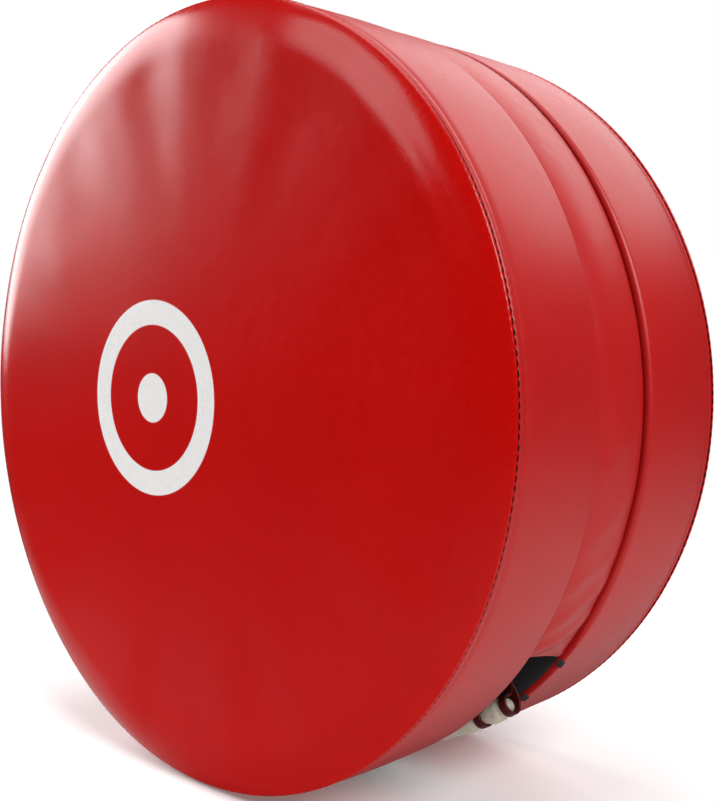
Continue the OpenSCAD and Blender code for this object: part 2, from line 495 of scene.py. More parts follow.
@dataclass(frozen=True)
class Leather:
    """Coated leather: a fine pebbled grain under a soft gloss."""

    name: str
    color: Color
    deep: Color
    roughness: float = 0.42
    grain: float = 1.1 * MM
    depth: float = 0.05 * MM
    coat: float = 0.0
    gloss: float = 0.5
    target: Target | None = None

    def material(self) -> bpy.types.Material:
        """Builds the material."""
        tree = Tree(self.name)
        where = tree.place()
        broad = tree.noise(where, 9.0, 2.0)
        fine = tree.noise(where, 260.0, 3.0, 0.6)
        warp = tree.node(
            "ShaderNodeVectorMath", {"operation": "ADD"},
            {0: where, 1: tree.node("ShaderNodeVectorMath", {"operation": "SCALE"}, {
                0: tree.node("ShaderNodeTexNoise", {}, {"Vector": where, "Scale": 500.0, "Detail": 2.0})[1],
                "Scale": 0.6 * MM,
            })[0]},
        )[0]
        pebble = tree.cells(warp, 1 / self.grain, "DISTANCE_TO_EDGE").ramp(0.0, 0.28)
        creases = tree.noise(warp, 0.45 / self.grain, 4.0, 0.62)
        height = pebble * 0.45 + creases * 1.0
        color = tree.mix((broad * 0.5 + fine * 0.25).ramp(0.2, 0.6), self.deep, self.color)
        roughness = (fine - 0.5) * 0.12 + (broad - 0.5) * 0.06 + (1 - pebble) * 0.05 + self.roughness
        normal = tree.bump(height, self.depth, 0.7)
        if self.target:
            mask = self.target.mask(tree)
            ink = tree.noise(where, 700.0, 2.0).ramp(0.2, 0.8)
            printed = tree.mix(ink, tuple(0.93 * c for c in self.target.ink), self.target.ink)
            color = tree.mix(mask, color, printed)
            roughness = roughness + mask * 0.08
            normal = tree.bump(mask, 0.06 * MM, 0.5, under=normal)
        return tree.finish(
            Base_Color=color, Roughness=roughness, Normal=normal,
            Coat_Weight=self.coat, Coat_Roughness=0.25, Specular_IOR_Level=self.gloss,
        )


@dataclass(frozen=True)
class Weave:
    """A plain-woven cloth or a ribbed webbing, woven square to the row's X and Z."""

    name: str
    color: Color
    light: Color
    pitch: float = 0.6 * MM
    rib: float = 1.0
    roughness: float = 0.8
    depth: float = 0.1 * MM
    sheen: float = 0.25

    def material(self) -> bpy.types.Material:
        """Builds the material."""
        tree = Tree(self.name)
        x, y, z = tree.axes(tree.place())
        turn = 2 * math.pi / self.pitch
        warp = (x * turn).sin()
        weft = ((z + y) * (turn * self.rib)).sin()
        thread = (warp * weft) * 0.5 + 0.5
        fuzz = tree.noise(tree.place(), 900.0, 3.0, 0.6)
        broad = tree.noise(tree.place(), 14.0, 2.0)
        color = tree.mix((thread * 0.6 + fuzz * 0.3 + broad * 0.2).ramp(0.2, 0.95), self.color, self.light)
        roughness = (fuzz - 0.5) * 0.15 + self.roughness
        normal = tree.bump(thread + fuzz * 0.4, self.depth, 0.8)
        return tree.finish(
            Base_Color=color, Roughness=roughness, Normal=normal,
            Sheen_Weight=self.sheen, Sheen_Roughness=0.5, Specular_IOR_Level=0.3,
        )


@dataclass(frozen=True)
class Pile:
    """Hook or loop tape: a dense field of tiny bristles or loops."""

    name: str
    color: Color
    tip: Color
    pitch: float = 1.2 * MM
    depth: float = 0.5 * MM

    def material(self) -> bpy.types.Material:
        """Builds the material."""
        tree = Tree(self.name)
        where = tree.place()
        tuft = 1 - tree.cells(where, 1 / self.pitch).ramp(0.0, 0.75)
        fuzz = tree.noise(where, 1600.0, 2.0)
        color = tree.mix(tuft * 0.7 + fuzz * 0.3, self.color, self.tip)
        normal = tree.bump(tuft + fuzz * 0.5, self.depth, 0.8)
        return tree.finish(
            Base_Color=color, Roughness=(fuzz - 0.5) * 0.1 + 0.85, Normal=normal,
            Sheen_Weight=0.4, Specular_IOR_Level=0.2,
        )


@dataclass(frozen=True)
class Strand:
    """Twisted thread or rope: slanting plies round the strand."""

    name: str
    color: Color
    dark: Color
    ply: float = 0.8 * MM
    roughness: float = 0.6
    sheen: float = 0.2
    gloss: float = 0.4

    def material(self) -> bpy.types.Material:
        """Builds the material."""
        tree = Tree(self.name)
        x, y, z = tree.axes(tree.place())
        twist = (((x + y * 0.7 + z * 0.9) * (2 * math.pi / self.ply)).sin()) * 0.5 + 0.5
        fuzz = tree.noise(tree.place(), 1500.0, 3.0)
        color = tree.mix((twist * 0.7 + fuzz * 0.3).ramp(0.1, 0.9), self.dark, self.color)
        normal = tree.bump(twist + fuzz * 0.3, self.ply * 0.3, 0.8)
        return tree.finish(
            Base_Color=color, Roughness=(fuzz - 0.5) * 0.2 + self.roughness, Normal=normal,
            Sheen_Weight=self.sheen, Specular_IOR_Level=self.gloss,
        )


@dataclass(frozen=True)
class Foam:
    """Cut foam with small cells."""

    name: str
    color: Color
    pore: Color
    cell: float = 1.5 * MM

    def material(self) -> bpy.types.Material:
        """Builds the material."""
        tree = Tree(self.name)
        where = tree.place()
        cell = tree.cells(where, 1 / self.cell).ramp(0.1, 0.7)
        fine = tree.noise(where, 800.0, 2.0)
        color = tree.mix(cell * 0.6 + fine * 0.3, self.pore, self.color)
        return tree.finish(
            Base_Color=color, Roughness=(fine - 0.5) * 0.1 + 0.9, Normal=tree.bump(cell, 0.3 * MM, 0.7)
        )


class Finish(Enum):
    """Every finish of the object, by the record's material slot."""

    FACE = "face_leather"
    FACE_PLAIN = "face_leather_plain"
    SIDE = "side_leather"
    BAND = "band_leather"
    LOOP = "loop_leather"
    RAIL = "rail_leather"
    STRAP = "strap_leather"
    GRIP = "grip_leather"
    LINING = "lining_cloth"
    WEBBING = "webbing"
    LOOP_PILE = "loop_pile"
    HOOK = "hook_tape"
    ROPE = "rope_cord"
    SEAM = "seam_thread"
    LINING_THREAD = "lining_thread"
    STRIKE_FOAM = "strike_foam"
    CORE_FOAM = "core_foam"
    SOFT_FOAM = "soft_foam"


class Wardrobe:
    """Makes each material once and dresses pieces in it."""

    RED: Color = (0.48, 0.0022, 0.0009)
    RED_DEEP: Color = (0.43, 0.0016, 0.0007)
    SIDE_RED: Color = (0.45, 0.0050, 0.0048)
    SIDE_DEEP: Color = (0.40, 0.0036, 0.0036)

    def __init__(self) -> None:
        """Lists the recipes."""
        target = Target(x=-0.03, z=0.0, ring=0.045, line=0.013, dot=0.013)
        glossy = {"roughness": 0.18, "grain": 1.5 * MM, "depth": 0.05 * MM, "gloss": 0.32}
        satin = {"roughness": 0.38, "depth": 0.03 * MM}
        self.recipes = {
            Finish.FACE: Leather("face_leather", self.RED, self.RED_DEEP, target=target, **glossy),
            Finish.FACE_PLAIN: Leather("face_leather_plain", self.RED, self.RED_DEEP, **glossy),
            Finish.SIDE: Leather("side_leather", self.SIDE_RED, self.SIDE_DEEP, **satin),
            Finish.BAND: Leather("band_leather", self.SIDE_RED, self.SIDE_DEEP, **satin),
            Finish.LOOP: Leather("loop_leather", (0.12, 0.004, 0.006), (0.07, 0.002, 0.003), roughness=0.4),
            Finish.RAIL: Leather("rail_leather", (0.62, 0.57, 0.47), (0.5, 0.45, 0.36), roughness=0.45),
            Finish.STRAP: Leather("strap_leather", self.SIDE_RED, self.SIDE_DEEP),
            Finish.GRIP: Leather("grip_leather", (0.022, 0.022, 0.024), (0.012, 0.012, 0.013), roughness=0.55),
            Finish.LINING: Weave("lining_cloth", (0.006, 0.006, 0.007), (0.018, 0.018, 0.019), roughness=0.7),
            Finish.WEBBING: Weave(
                "webbing", (0.008, 0.008, 0.009), (0.03, 0.03, 0.032), pitch=1.6 * MM, rib=0.5, depth=0.3 * MM
            ),
            Finish.LOOP_PILE: Pile("loop_pile", (0.01, 0.01, 0.011), (0.045, 0.045, 0.048)),
            Finish.HOOK: Pile("hook_tape", (0.02, 0.02, 0.022), (0.07, 0.07, 0.075), pitch=1.5 * MM),
            Finish.ROPE: Strand("rope_cord", (0.6, 0.55, 0.45), (0.3, 0.26, 0.2), ply=6 * MM, roughness=0.8),
            Finish.SEAM: Strand(
                "seam_thread", (0.030, 0.002, 0.002), (0.008, 0.001, 0.001), roughness=0.95, sheen=0.0, gloss=0.1
            ),
            Finish.LINING_THREAD: Strand("lining_thread", (0.03, 0.03, 0.03), (0.008, 0.008, 0.008)),
            Finish.STRIKE_FOAM: Foam("strike_foam", (0.05, 0.05, 0.055), (0.02, 0.02, 0.022), cell=0.9 * MM),
            Finish.CORE_FOAM: Foam("core_foam", (0.75, 0.73, 0.67), (0.5, 0.48, 0.42)),
            Finish.SOFT_FOAM: Foam("soft_foam", (0.8, 0.72, 0.45), (0.55, 0.47, 0.28), cell=2.5 * MM),
        }
        self.made: dict[Finish, bpy.types.Material] = {}

    def material(self, finish: Finish) -> bpy.types.Material:
        """The finish's material, made when it is first asked for."""
        if finish not in self.made:
            self.made[finish] = self.recipes[finish].material()
        return self.made[finish]

    def dress(self, obj: bpy.types.Object, finish: Finish) -> bpy.types.Object:
        """Puts one finish all over a piece."""
        obj.data.materials.clear()
        obj.data.materials.append(self.material(finish))
        return obj

    def dress_node(self, name: str, finish: Finish) -> None:
        """Puts a finish on a CAD node that stays shown."""
        node = frame["nodes"][name]
        if not node.material_slots:
            node.data.materials.append(None)
        for slot in node.material_slots:
            slot.material = self.material(finish)


# ---------------------------------------------------------------- stitches

class Stitcher:
    """Sews rows of stitches along paths with one Geometry Nodes tree."""

    def __init__(self, wardrobe: Wardrobe) -> None:
        """Builds the tree once."""
        self.wardrobe = wardrobe
        self.tree = bpy.data.node_groups.new("stitch_row", "GeometryNodeTree")
        self._build()

    def _build(self) -> None:
        """Wires path to curve to stitches to one real mesh."""
        tree = self.tree
        face = tree.interface
        face.new_socket("Geometry", in_out="INPUT", socket_type="NodeSocketGeometry")
        sizes = (("Pitch", 3.8 * MM), ("Length", 2.8 * MM), ("Thickness", 0.9 * MM), ("Unevenness", 0.12))
        for name, value in sizes:
            socket = face.new_socket(name, in_out="INPUT", socket_type="NodeSocketFloat")
            socket.default_value = value
        face.new_socket("Thread", in_out="INPUT", socket_type="NodeSocketMaterial")
        face.new_socket("Geometry", in_out="OUTPUT", socket_type="NodeSocketGeometry")

        def add(kind: str, settings: dict | None = None, inputs: dict | None = None) -> bpy.types.Node:
            """Adds a node with its settings, then its inputs by name or number."""
            made = tree.nodes.new(kind)
            for key, value in (settings or {}).items():
                setattr(made, key, value)
            for key, value in (inputs or {}).items():
                if isinstance(value, bpy.types.NodeSocket):
                    tree.links.new(value, made.inputs[key])
                else:
                    made.inputs[key].default_value = value
            return made

        given = add("NodeGroupInput").outputs
        curve = add("GeometryNodeMeshToCurve", {}, {"Mesh": given["Geometry"]})
        even = add("GeometryNodeResampleCurve", {}, {"Curve": curve.outputs[0]})
        even.mode = "LENGTH"
        tree.links.new(given["Pitch"], even.inputs["Length"])
        tangent = add("GeometryNodeInputTangent")
        jitter = add(
            "FunctionNodeRandomValue", {"data_type": "FLOAT_VECTOR"},
            {"Min": (-1, -1, -1), "Max": (1, 1, 1), "Seed": 11},
        )
        sway = add(
            "ShaderNodeVectorMath", {"operation": "SCALE"},
            {0: jitter.outputs["Value"], "Scale": given["Unevenness"]},
        )
        aim = add("ShaderNodeVectorMath", {"operation": "ADD"}, {0: tangent.outputs[0], 1: sway.outputs[0]})
        turn = add("FunctionNodeAlignRotationToVector", {"axis": "X"}, {"Vector": aim.outputs[0]})
        ball = add("GeometryNodeMeshUVSphere", {}, {"Segments": 8, "Rings": 7, "Radius": 0.5})
        size = add("ShaderNodeCombineXYZ", {}, {0: given["Length"], 1: given["Thickness"], 2: given["Thickness"]})
        stitch = add("GeometryNodeTransform", {}, {"Geometry": ball.outputs["Mesh"], "Scale": size.outputs[0]})
        row = add(
            "GeometryNodeInstanceOnPoints", {},
            {"Points": even.outputs[0], "Instance": stitch.outputs[0], "Rotation": turn.outputs[0]},
        )
        real = add("GeometryNodeRealizeInstances", {}, {0: row.outputs[0]})
        smooth = add("GeometryNodeSetShadeSmooth", {}, {"Geometry": real.outputs[0]})
        done = add("GeometryNodeSetMaterial", {}, {"Geometry": smooth.outputs[0], "Material": given["Thread"]})
        add("NodeGroupOutput", {}, {0: done.outputs[0]})

    def sew(
        self, name: str, paths: Sequence[Array], finish: Finish, closed: bool = False,
        pitch: float = 3.8 * MM, length: float = 2.8 * MM, thickness: float = 0.9 * MM, unevenness: float = 0.1,
    ) -> bpy.types.Object:
        """Sews one or more rows.

        Args:
            name: the new piece's name.
            paths: point rows, each of shape (n, 3).
            finish: the thread's finish.
            closed: joins each path's end to its start.
            pitch: distance between stitches.
            length: length of a stitch.
            thickness: thickness of the thread.
            unevenness: how far stitches lean at random.

        Returns:
            The stitches as one plain mesh.
        """
        verts, edges, base = [], [], 0
        for path in paths:
            n = len(path)
            verts += np.asarray(path, float).tolist()
            edges += [(base + i, base + i + 1) for i in range(n - 1)]
            if closed:
                edges.append((base + n - 1, base))
            base += n
        mesh = bpy.data.meshes.new(f"{name}_path")
        mesh.from_pydata(verts, edges, [])
        guide = bpy.data.objects.new(f"{name}_path", mesh)
        bpy.context.scene.collection.objects.link(guide)
        modifier = guide.modifiers.new("stitches", "NODES")
        modifier.node_group = self.tree
        values = {
            "Pitch": pitch, "Length": length, "Thickness": thickness,
            "Unevenness": unevenness, "Thread": self.wardrobe.material(finish),
        }
        for item in self.tree.interface.items_tree:
            if item.item_type == "SOCKET" and item.in_out == "INPUT" and item.name in values:
                modifier[item.identifier] = values[item.name]
        sewn = bpy.data.meshes.new_from_object(guide.evaluated_get(bpy.context.evaluated_depsgraph_get()))
        sewn.name = name
        guide.modifiers.clear()
        bpy.data.objects.remove(guide)
        obj = bpy.data.objects.new(name, sewn)
        bpy.context.scene.collection.objects.link(obj)
        self.wardrobe.dress(obj, finish)
        return obj


# ---------------------------------------------------------------- cloth

def resample(values: Array, at: Array, wrap: bool = False) -> Array:
    """Smoothly reads values along their first axis.

    Args:
        values: samples, shape (n, ...).
        at: positions from 0 to n - 1, or to n where they wrap.
        wrap: treats the samples as a closed loop.

    Returns:
        The Catmull-Rom interpolation at each position.
    """
    n = len(values)
    base = np.floor(at).astype(int)
    f = (at - base).reshape(-1, *(1,) * (values.ndim - 1))
    picks = [base + k for k in (-1, 0, 1, 2)]
    p0, p1, p2, p3 = (values[k % n if wrap else np.clip(k, 0, n - 1)] for k in picks)
    return 0.5 * (
        2 * p1 + (p2 - p0) * f + (2 * p0 - 5 * p1 + 4 * p2 - p3) * f**2 + (3 * p1 - p0 - 3 * p2 + p3) * f**3
    )


@dataclass
class ClothSheet:
    """A sewn-down sheet with more cloth than its seams span, which puckers when it is let go."""

    name: str
    points: Array
    pinned: Array
    fullness: Array
    excess: float
    wrap: bool = False
    pressure: float = 0.5
    bending: float = 0.4
    frames: int = 20
    seed: int = 5

    def pucker(self) -> Array:
        """Runs the simulation.

        Returns:
            How far each lattice point moved, shape (nu, nv, 3).
        """
        jitter = np.random.default_rng(self.seed).normal(0, 0.04 * MM, self.points.shape)
        start = self.points + jitter * (1 - self.pinned)[..., None]
        obj = self._sheet(start)
        self._group(obj, "pinned", self.pinned)
        self._group(obj, "fullness", self.fullness)
        modifier = obj.modifiers.new("cloth", "CLOTH")
        cloth = modifier.settings
        cloth.quality = 6
        cloth.mass = 0.25
        cloth.air_damping = 2.0
        cloth.tension_stiffness = cloth.compression_stiffness = 20
        cloth.shear_stiffness = 8
        cloth.bending_stiffness = self.bending
        cloth.vertex_group_mass = "pinned"
        cloth.pin_stiffness = 1.0
        cloth.vertex_group_shrink = "fullness"
        cloth.shrink_min = 0.0
        cloth.shrink_max = -self.excess
        cloth.use_pressure = self.pressure > 0
        cloth.uniform_pressure_force = self.pressure
        cloth.effector_weights.gravity = 0.0
        modifier.point_cache.frame_start = 1
        modifier.point_cache.frame_end = self.frames
        scene = bpy.context.scene
        for number in range(1, self.frames + 1):
            scene.frame_set(number)
        shown = obj.evaluated_get(bpy.context.evaluated_depsgraph_get())
        moved = np.empty(len(shown.data.vertices) * 3)
        shown.data.vertices.foreach_get("co", moved)
        bpy.data.objects.remove(obj)
        scene.frame_set(1)
        drift = moved.reshape(self.points.shape) - self.points
        LOG.info("%s: cloth moved up to %.2f mm", self.name, np.abs(drift).max() / MM)
        return drift

    def _sheet(self, points: Array) -> bpy.types.Object:
        """The lattice as an open mesh object that keeps the points' order."""
        nu, nv = points.shape[:2]
        index = np.arange(nu * nv).reshape(nu, nv)
        rows = np.vstack([index, index[:1]]) if self.wrap else index
        quads = np.stack([rows[:-1, :-1], rows[1:, :-1], rows[1:, 1:], rows[:-1, 1:]], -1).reshape(-1, 4)
        return Shape.from_data(f"{self.name}_cloth", points.reshape(-1, 3), quads, close=False)

    @staticmethod
    def _group(obj: bpy.types.Object, name: str, weights: Array) -> None:
        """Stores weights from 0 to 1 as a vertex group."""
        group = obj.vertex_groups.new(name=name)
        for number, weight in enumerate(np.asarray(weights, float).ravel()):
            if weight > 0:
                group.add([number], float(weight), "REPLACE")


# ---------------------------------------------------------------- pads

@dataclass
class DrumPad:
    """One foam disc of the drum: face panel, gusset, lining and their stitches."""

    layout: Layout
    side: Side
    around: int = 1200
    stitches: int = 300
    stitch_length: float = 3.0 * MM
    stitch_thickness: float = 0.95 * MM
    skin: float = 1.4 * MM
    rim_width: float = 24.0 * MM
    slack: float = 0.9 * MM
    shoulder_wide: float = 2.4 * MM
    shoulder_tight: float = 1.1 * MM
    noise: ValueNoise = field(default_factory=lambda: ValueNoise(21))

    @property
    def angles(self) -> Array:
        """The angles of the mesh's columns."""
        return np.linspace(0, 2 * math.pi, self.around, endpoint=False)

    def place(self, t: Array, r: Array, d: Array) -> Array:
        """Points from angle, radius and depth out of the lining."""
        x, z = r * np.cos(t), r * np.sin(t)
        y = self.side.value * (self.layout.half_gap + d)
        return np.stack(np.broadcast_arrays(x, y, z), -1)

    def shoulder(self, t: Array) -> Array:
        """Radius of the gusset's edge at the lining: tight over the top and at the mouth."""
        beside_band = smoothstep(np.degrees(np.arcsin(np.clip(np.sin(t), -1, 1))), -38.0, -30.0)
        return self.shoulder_tight + (self.shoulder_wide - self.shoulder_tight) * recess(t) * beside_band

    def _stitch_wave(self, t: Array) -> Array:
        """1 between stitches, -1 at them."""
        return np.cos(t * self.stitches)

    def face_profile(self) -> tuple[Array, Array]:
        """Outer radii and depths of the face panel, from its centre over its arched rim into the seam."""
        lay = self.layout
        crown = lay.face_depth - lay.seam_depth
        rho = (self.rim_width**2 + crown**2) / (2 * crown)
        s = np.linspace(0, 1, 48)
        r = (lay.radius - 1.4 * MM) * (1 - (1 - s) ** 2.1)
        run = np.clip(r - (lay.radius - self.rim_width), 0, None)
        d = lay.face_depth - rho + np.sqrt(rho**2 - run**2)
        turn = np.array([(-0.75, 0.42), (-0.28, 0.0), (0.0, -0.55), (-0.1, -1.0), (-0.7, -1.35), (-3.4, -1.45)]) * MM
        return np.concatenate([r, lay.radius + turn[:, 0]]), np.concatenate([d, lay.seam_depth + turn[:, 1]])

    def relief(self, t: Array, r: Array, folds: Callable[[Array, Array], Array]) -> Array:
        """Height of the face's unevenness: broad waves, soft radial folds and stitch puckers."""
        rho = r / self.layout.radius
        x, z = rho * np.cos(t), rho * np.sin(t)
        broad = self.noise(x * 3.1 + 7, z * 3.1 + 3, 0.5) * 0.45 * MM
        radial = self.noise(np.cos(t) * 5.5 + 20, np.sin(t) * 5.5 + 20, rho * 1.2) * smoothstep(rho, 0.35, 0.9)
        radial = radial * smoothstep(rho, 1.0, 0.95) * 0.7 * MM
        pucker = self._stitch_wave(t) * smoothstep(rho, 0.965, 1.0) * 0.05 * MM
        inset = (1 - rho) * self.layout.radius
        drawn = np.exp(-(((inset - 11 * MM) / (4.5 * MM)) ** 2)) * smoothstep(np.cos(t), -0.2, 0.9) * 0.55 * MM
        return np.maximum(broad + radial + pucker - drawn + folds(t, r), -self.slack)

    def simulate(self) -> Callable[[Array, Array], Array]:
        """Lets the cover's outer part pucker as cloth and returns its folds as a height field."""
        lay = self.layout
        nu, nv = 264, 20
        inner, outer = 0.5 * lay.radius, 0.997 * lay.radius
        t = np.linspace(0, 2 * math.pi, nu, endpoint=False)[:, None]
        r = np.linspace(inner, outer, nv)[None, :]
        crown = lay.face_depth - lay.seam_depth
        d = crown * (1 - np.clip((r / lay.radius - 0.88) / 0.12, 0, 1) ** 2)
        points = np.stack(np.broadcast_arrays(r * np.cos(t), -d, r * np.sin(t)), -1)
        pinned = np.zeros((nu, nv))
        pinned[:, 0] = pinned[:, -1] = 1
        fullness = np.broadcast_to(smoothstep(r, inner, outer * 0.93), (nu, nv))
        sheet = ClothSheet("face", points, pinned, fullness, excess=0.012, wrap=True)
        lift = -sheet.pucker()[..., 1]
        lift = lift - lift.mean(0)
        for shift in (1, 2, 1):
            lift = (np.roll(lift, shift, 0) + np.roll(lift, -shift, 0)) * 0.3 + lift * 0.4
            lift[:, 1:-1] = (lift[:, :-2] + lift[:, 2:]) * 0.25 + lift[:, 1:-1] * 0.5
        slackest = 0.30 + 0.70 * (smoothstep(np.cos(t - math.radians(112)), 0.2, 0.95)
                                  + 0.8 * smoothstep(np.cos(t - math.radians(228)), 0.75, 0.97))
        lift = np.clip(lift * 0.5 * slackest, -0.45 * MM, 0.6 * MM)

        def folds(at_t: Array, at_r: Array) -> Array:
            """The simulated folds' height over a grid of angles by radii."""
            column = (np.ravel(at_t) % (2 * math.pi)) / (2 * math.pi) * nu
            row = np.clip((np.ravel(at_r) - inner) / (outer - inner), 0, 1) * (nv - 1)
            grid = resample(resample(lift, column, wrap=True).T, row).T
            return grid * smoothstep(np.ravel(at_r), inner, inner * 1.4)[None, :]

        return folds

    def build_face(self, folds: Callable[[Array, Array], Array]) -> bpy.types.Object:
        """The crowned strike face as a closed skin."""
        t = self.angles[:, None]
        r, d = self.face_profile()
        height = self.relief(t, r[None, :], folds)
        slope_r, slope_d = np.gradient(r), np.gradient(d)
        length = np.hypot(slope_r, slope_d)
        outer_r = r[None, :] - slope_d / length * height
        outer_d = d[None, :] + slope_r / length * height
        outer_r[:, 0] = 0.0
        outer_d[:, 0] = outer_d[:, 0].mean()
        lay = self.layout
        back_r = np.array([lay.radius - 5 * MM, 0.93 * lay.radius, 0.6 * lay.radius, 0.0])
        back_d = np.interp(back_r, [0, 0.6 * lay.radius, 0.93 * lay.radius, lay.radius], [
            lay.face_depth - self.skin, lay.face_depth - self.skin,
            lay.face_depth - self.skin - 1.6 * MM, lay.seam_depth - 1.2 * MM,
        ])
        ones = np.ones_like(t)
        outer_d = np.minimum(outer_d, self.layout.face_depth + 0.9 * MM)
        all_r = np.hstack([outer_r, ones * back_r])
        all_d = np.hstack([outer_d, ones * back_d])
        return Shape.grid(f"{self.side.label}_face_cover", self.place(t, all_r, all_d), wrap_u=True)

    def build_gusset(self) -> bpy.types.Object:
        """The side wall: a bevel beside the face seam, a flat and a rounded edge at the lining."""
        lay, t = self.layout, self.angles[:, None]
        round_off = self.shoulder(t)
        gape = smoothstep(np.cos(t - math.radians(47)), 0.78, 0.97)
        low = lay.seam_depth - (1.75 + 1.1 * gape) * MM
        r_rows, d_rows = [], []

        def add(radius: Array | float, depth: Array | float) -> None:
            """Adds one row of the profile all the way round."""
            r_rows.append(np.broadcast_to(radius, t.shape))
            d_rows.append(np.broadcast_to(depth, t.shape))

        wave = self._stitch_wave(t) * 0.09 * MM
        for out, down, waves in (
            (-6.0, 0.1, 0), (-3.6, 0.0, 0), (-1.7, 0.05, 0), (-0.9, 0.25, 0.6), (-0.45, 0.7, 1), (-0.2, 1.4, 1),
            (-0.1, 2.3, 0.6), (-0.15, 3.0, 0.2), (-0.45, 3.5, 0), (-0.5, 3.8, 0), (-0.2, 4.3, 0),
        ):
            add(lay.radius + out * MM + wave * waves, low - down * MM)
        top = low - 4.6 * MM
        bulge = self.noise(np.cos(t) * 4, np.sin(t) * 4, 3.0) * 0.3 * MM
        for k in np.linspace(0.06, 1, 12):
            swell = 0.7 * MM * math.sin(math.pi * k)
            ripple = self.noise(np.cos(t) * 14, np.sin(t) * 14, k * 3 + 9) * 0.12 * MM
            add(lay.radius + swell + (bulge + ripple) * math.sin(math.pi * k), top + (round_off - top) * k)
        for a in np.linspace(0, math.pi / 2, 9)[1:]:
            add(lay.radius - round_off * (1 - math.cos(a)), round_off * (1 - math.sin(a)))
        add(lay.radius - round_off - 6 * MM, 0.25 * MM)
        add(lay.radius - round_off - 6 * MM, 0.25 * MM + self.skin)
        add(lay.radius - round_off - self.skin, 0.25 * MM + self.skin)
        add(lay.radius - self.skin, round_off + self.skin)
        add(lay.radius - 6 * MM, low - 2 * self.skin)
        points = self.place(t, np.hstack(r_rows), np.hstack(d_rows))
        return Shape.grid(f"{self.side.label}_gusset_cover", points, wrap_u=True, wrap_v=True)

    def build_lining(self) -> bpy.types.Object:
        """The inner cloth, drawn down a little along its stitch ring."""
        lay = self.layout
        t = self.angles[::4][:, None]
        edge = lay.radius - self.shoulder(t) * 0.75
        s = np.linspace(0, 1, 40)[None, :]
        r = edge * s
        x, z = r * np.cos(t), r * np.sin(t)
        sag = self.noise(x * 22 + 5, z * 22 + 5, 1.5) * 0.25 * MM
        seam = np.exp(-(((r - self.lining_ring) / (2.5 * MM)) ** 2)) * 0.35 * MM
        depth = (sag + seam + 0.05 * MM) * smoothstep(s, 1.0, 0.97) + 0.3 * MM * smoothstep(s, 0.985, 1.0)
        depth[:, 0] = depth[:, 0].mean()
        back_r = np.hstack([edge - 1 * MM, edge * 0.5, edge * 0.0])
        back_d = np.full_like(back_r, self.skin)
        points = self.place(t, np.hstack([r, back_r]), np.hstack([depth, back_d]))
        return Shape.grid(f"{self.side.label}_lining_cloth", points, wrap_u=True)

    def _tacks(self, stitcher: Stitcher) -> None:
        """Small dark bar tacks that pin the lining over the rim beside the band's ends."""
        rows = []
        turn = np.radians(np.linspace(-100, -38, 7))
        for degrees in (40.3, 49.0, 139.7, 131.0):
            for k in range(-2, 3):
                t = np.full(7, -math.radians(degrees) + k * 0.9 * MM / self.layout.radius)
                round_off = self.shoulder(t)
                reach = round_off + (0.35 - 0.1 * abs(k)) * MM
                rows.append(self.place(t, self.layout.radius - round_off + reach * np.cos(turn),
                                       round_off + reach * np.sin(turn)))
        tacks = stitcher.sew(
            "lining_tacks", rows, Finish.LINING_THREAD, pitch=1.3 * MM, length=2.0 * MM, thickness=1.1 * MM
        )
        settle(tacks, self.side.body)

    @property
    def lining_ring(self) -> float:
        """Radius of the ring of stitches on the lining, as the CAD thread has it."""
        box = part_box(f"{self.side.label}_lining_thread")
        return box[1][0] - 0.5 * MM

    def build(self, wardrobe: Wardrobe, stitcher: Stitcher, folds: Callable[[Array, Array], Array]) -> None:
        """Builds, dresses and places every piece of the pad."""
        name = self.side.label
        face_finish = Finish.FACE if self.side is Side.FRONT else Finish.FACE_PLAIN
        face = wardrobe.dress(self.build_face(folds), face_finish)
        settle(face, self.side.body, [f"{name}_face_panel"])
        gusset = wardrobe.dress(self.build_gusset(), Finish.SIDE)
        settle(gusset, self.side.body, [f"{name}_gusset"])
        lining = wardrobe.dress(self.build_lining(), Finish.LINING)
        settle(lining, self.side.body, [f"{name}_lining"])
        t = np.linspace(0, 2 * math.pi, 1440, endpoint=False)
        pitch = 2 * math.pi * self.layout.radius / self.stitches
        gape = smoothstep(np.cos(t - math.radians(47)), 0.78, 0.97)
        rim = self.layout.radius - (0.55 + 0.5 * gape) * MM
        seam = self.place(t, rim, self.layout.seam_depth - (1.7 + 0.5 * gape) * MM)
        sewn = stitcher.sew(f"{name}_face_stitches", [seam], Finish.SEAM, closed=True, pitch=pitch,
                            length=self.stitch_length, thickness=self.stitch_thickness)
        settle(sewn, self.side.body, [f"{name}_face_thread"])
        ring = self.place(t, self.lining_ring, 0.25 * MM)
        sewn = stitcher.sew(f"{name}_lining_stitches", [ring], Finish.LINING_THREAD, closed=True)
        settle(sewn, self.side.body, [f"{name}_lining_thread"])
        if self.side is Side.REAR:
            self._tacks(stitcher)
        for part, finish in (
            ("foam_strike", Finish.STRIKE_FOAM), ("foam_core", Finish.CORE_FOAM), ("foam_soft", Finish.SOFT_FOAM)
        ):
            wardrobe.dress_node(f"{name}_{part}", finish)


def recess(t: Array) -> Array:
    """How far the band sinks between the pads at an angle: 0 over the top and at the mouth, 1 at the sides."""
    above = np.degrees(np.arcsin(np.clip(np.sin(t), -1, 1)))
    return smoothstep(above, 74.0, 14.0) * smoothstep(above, -60.0, -38.0)


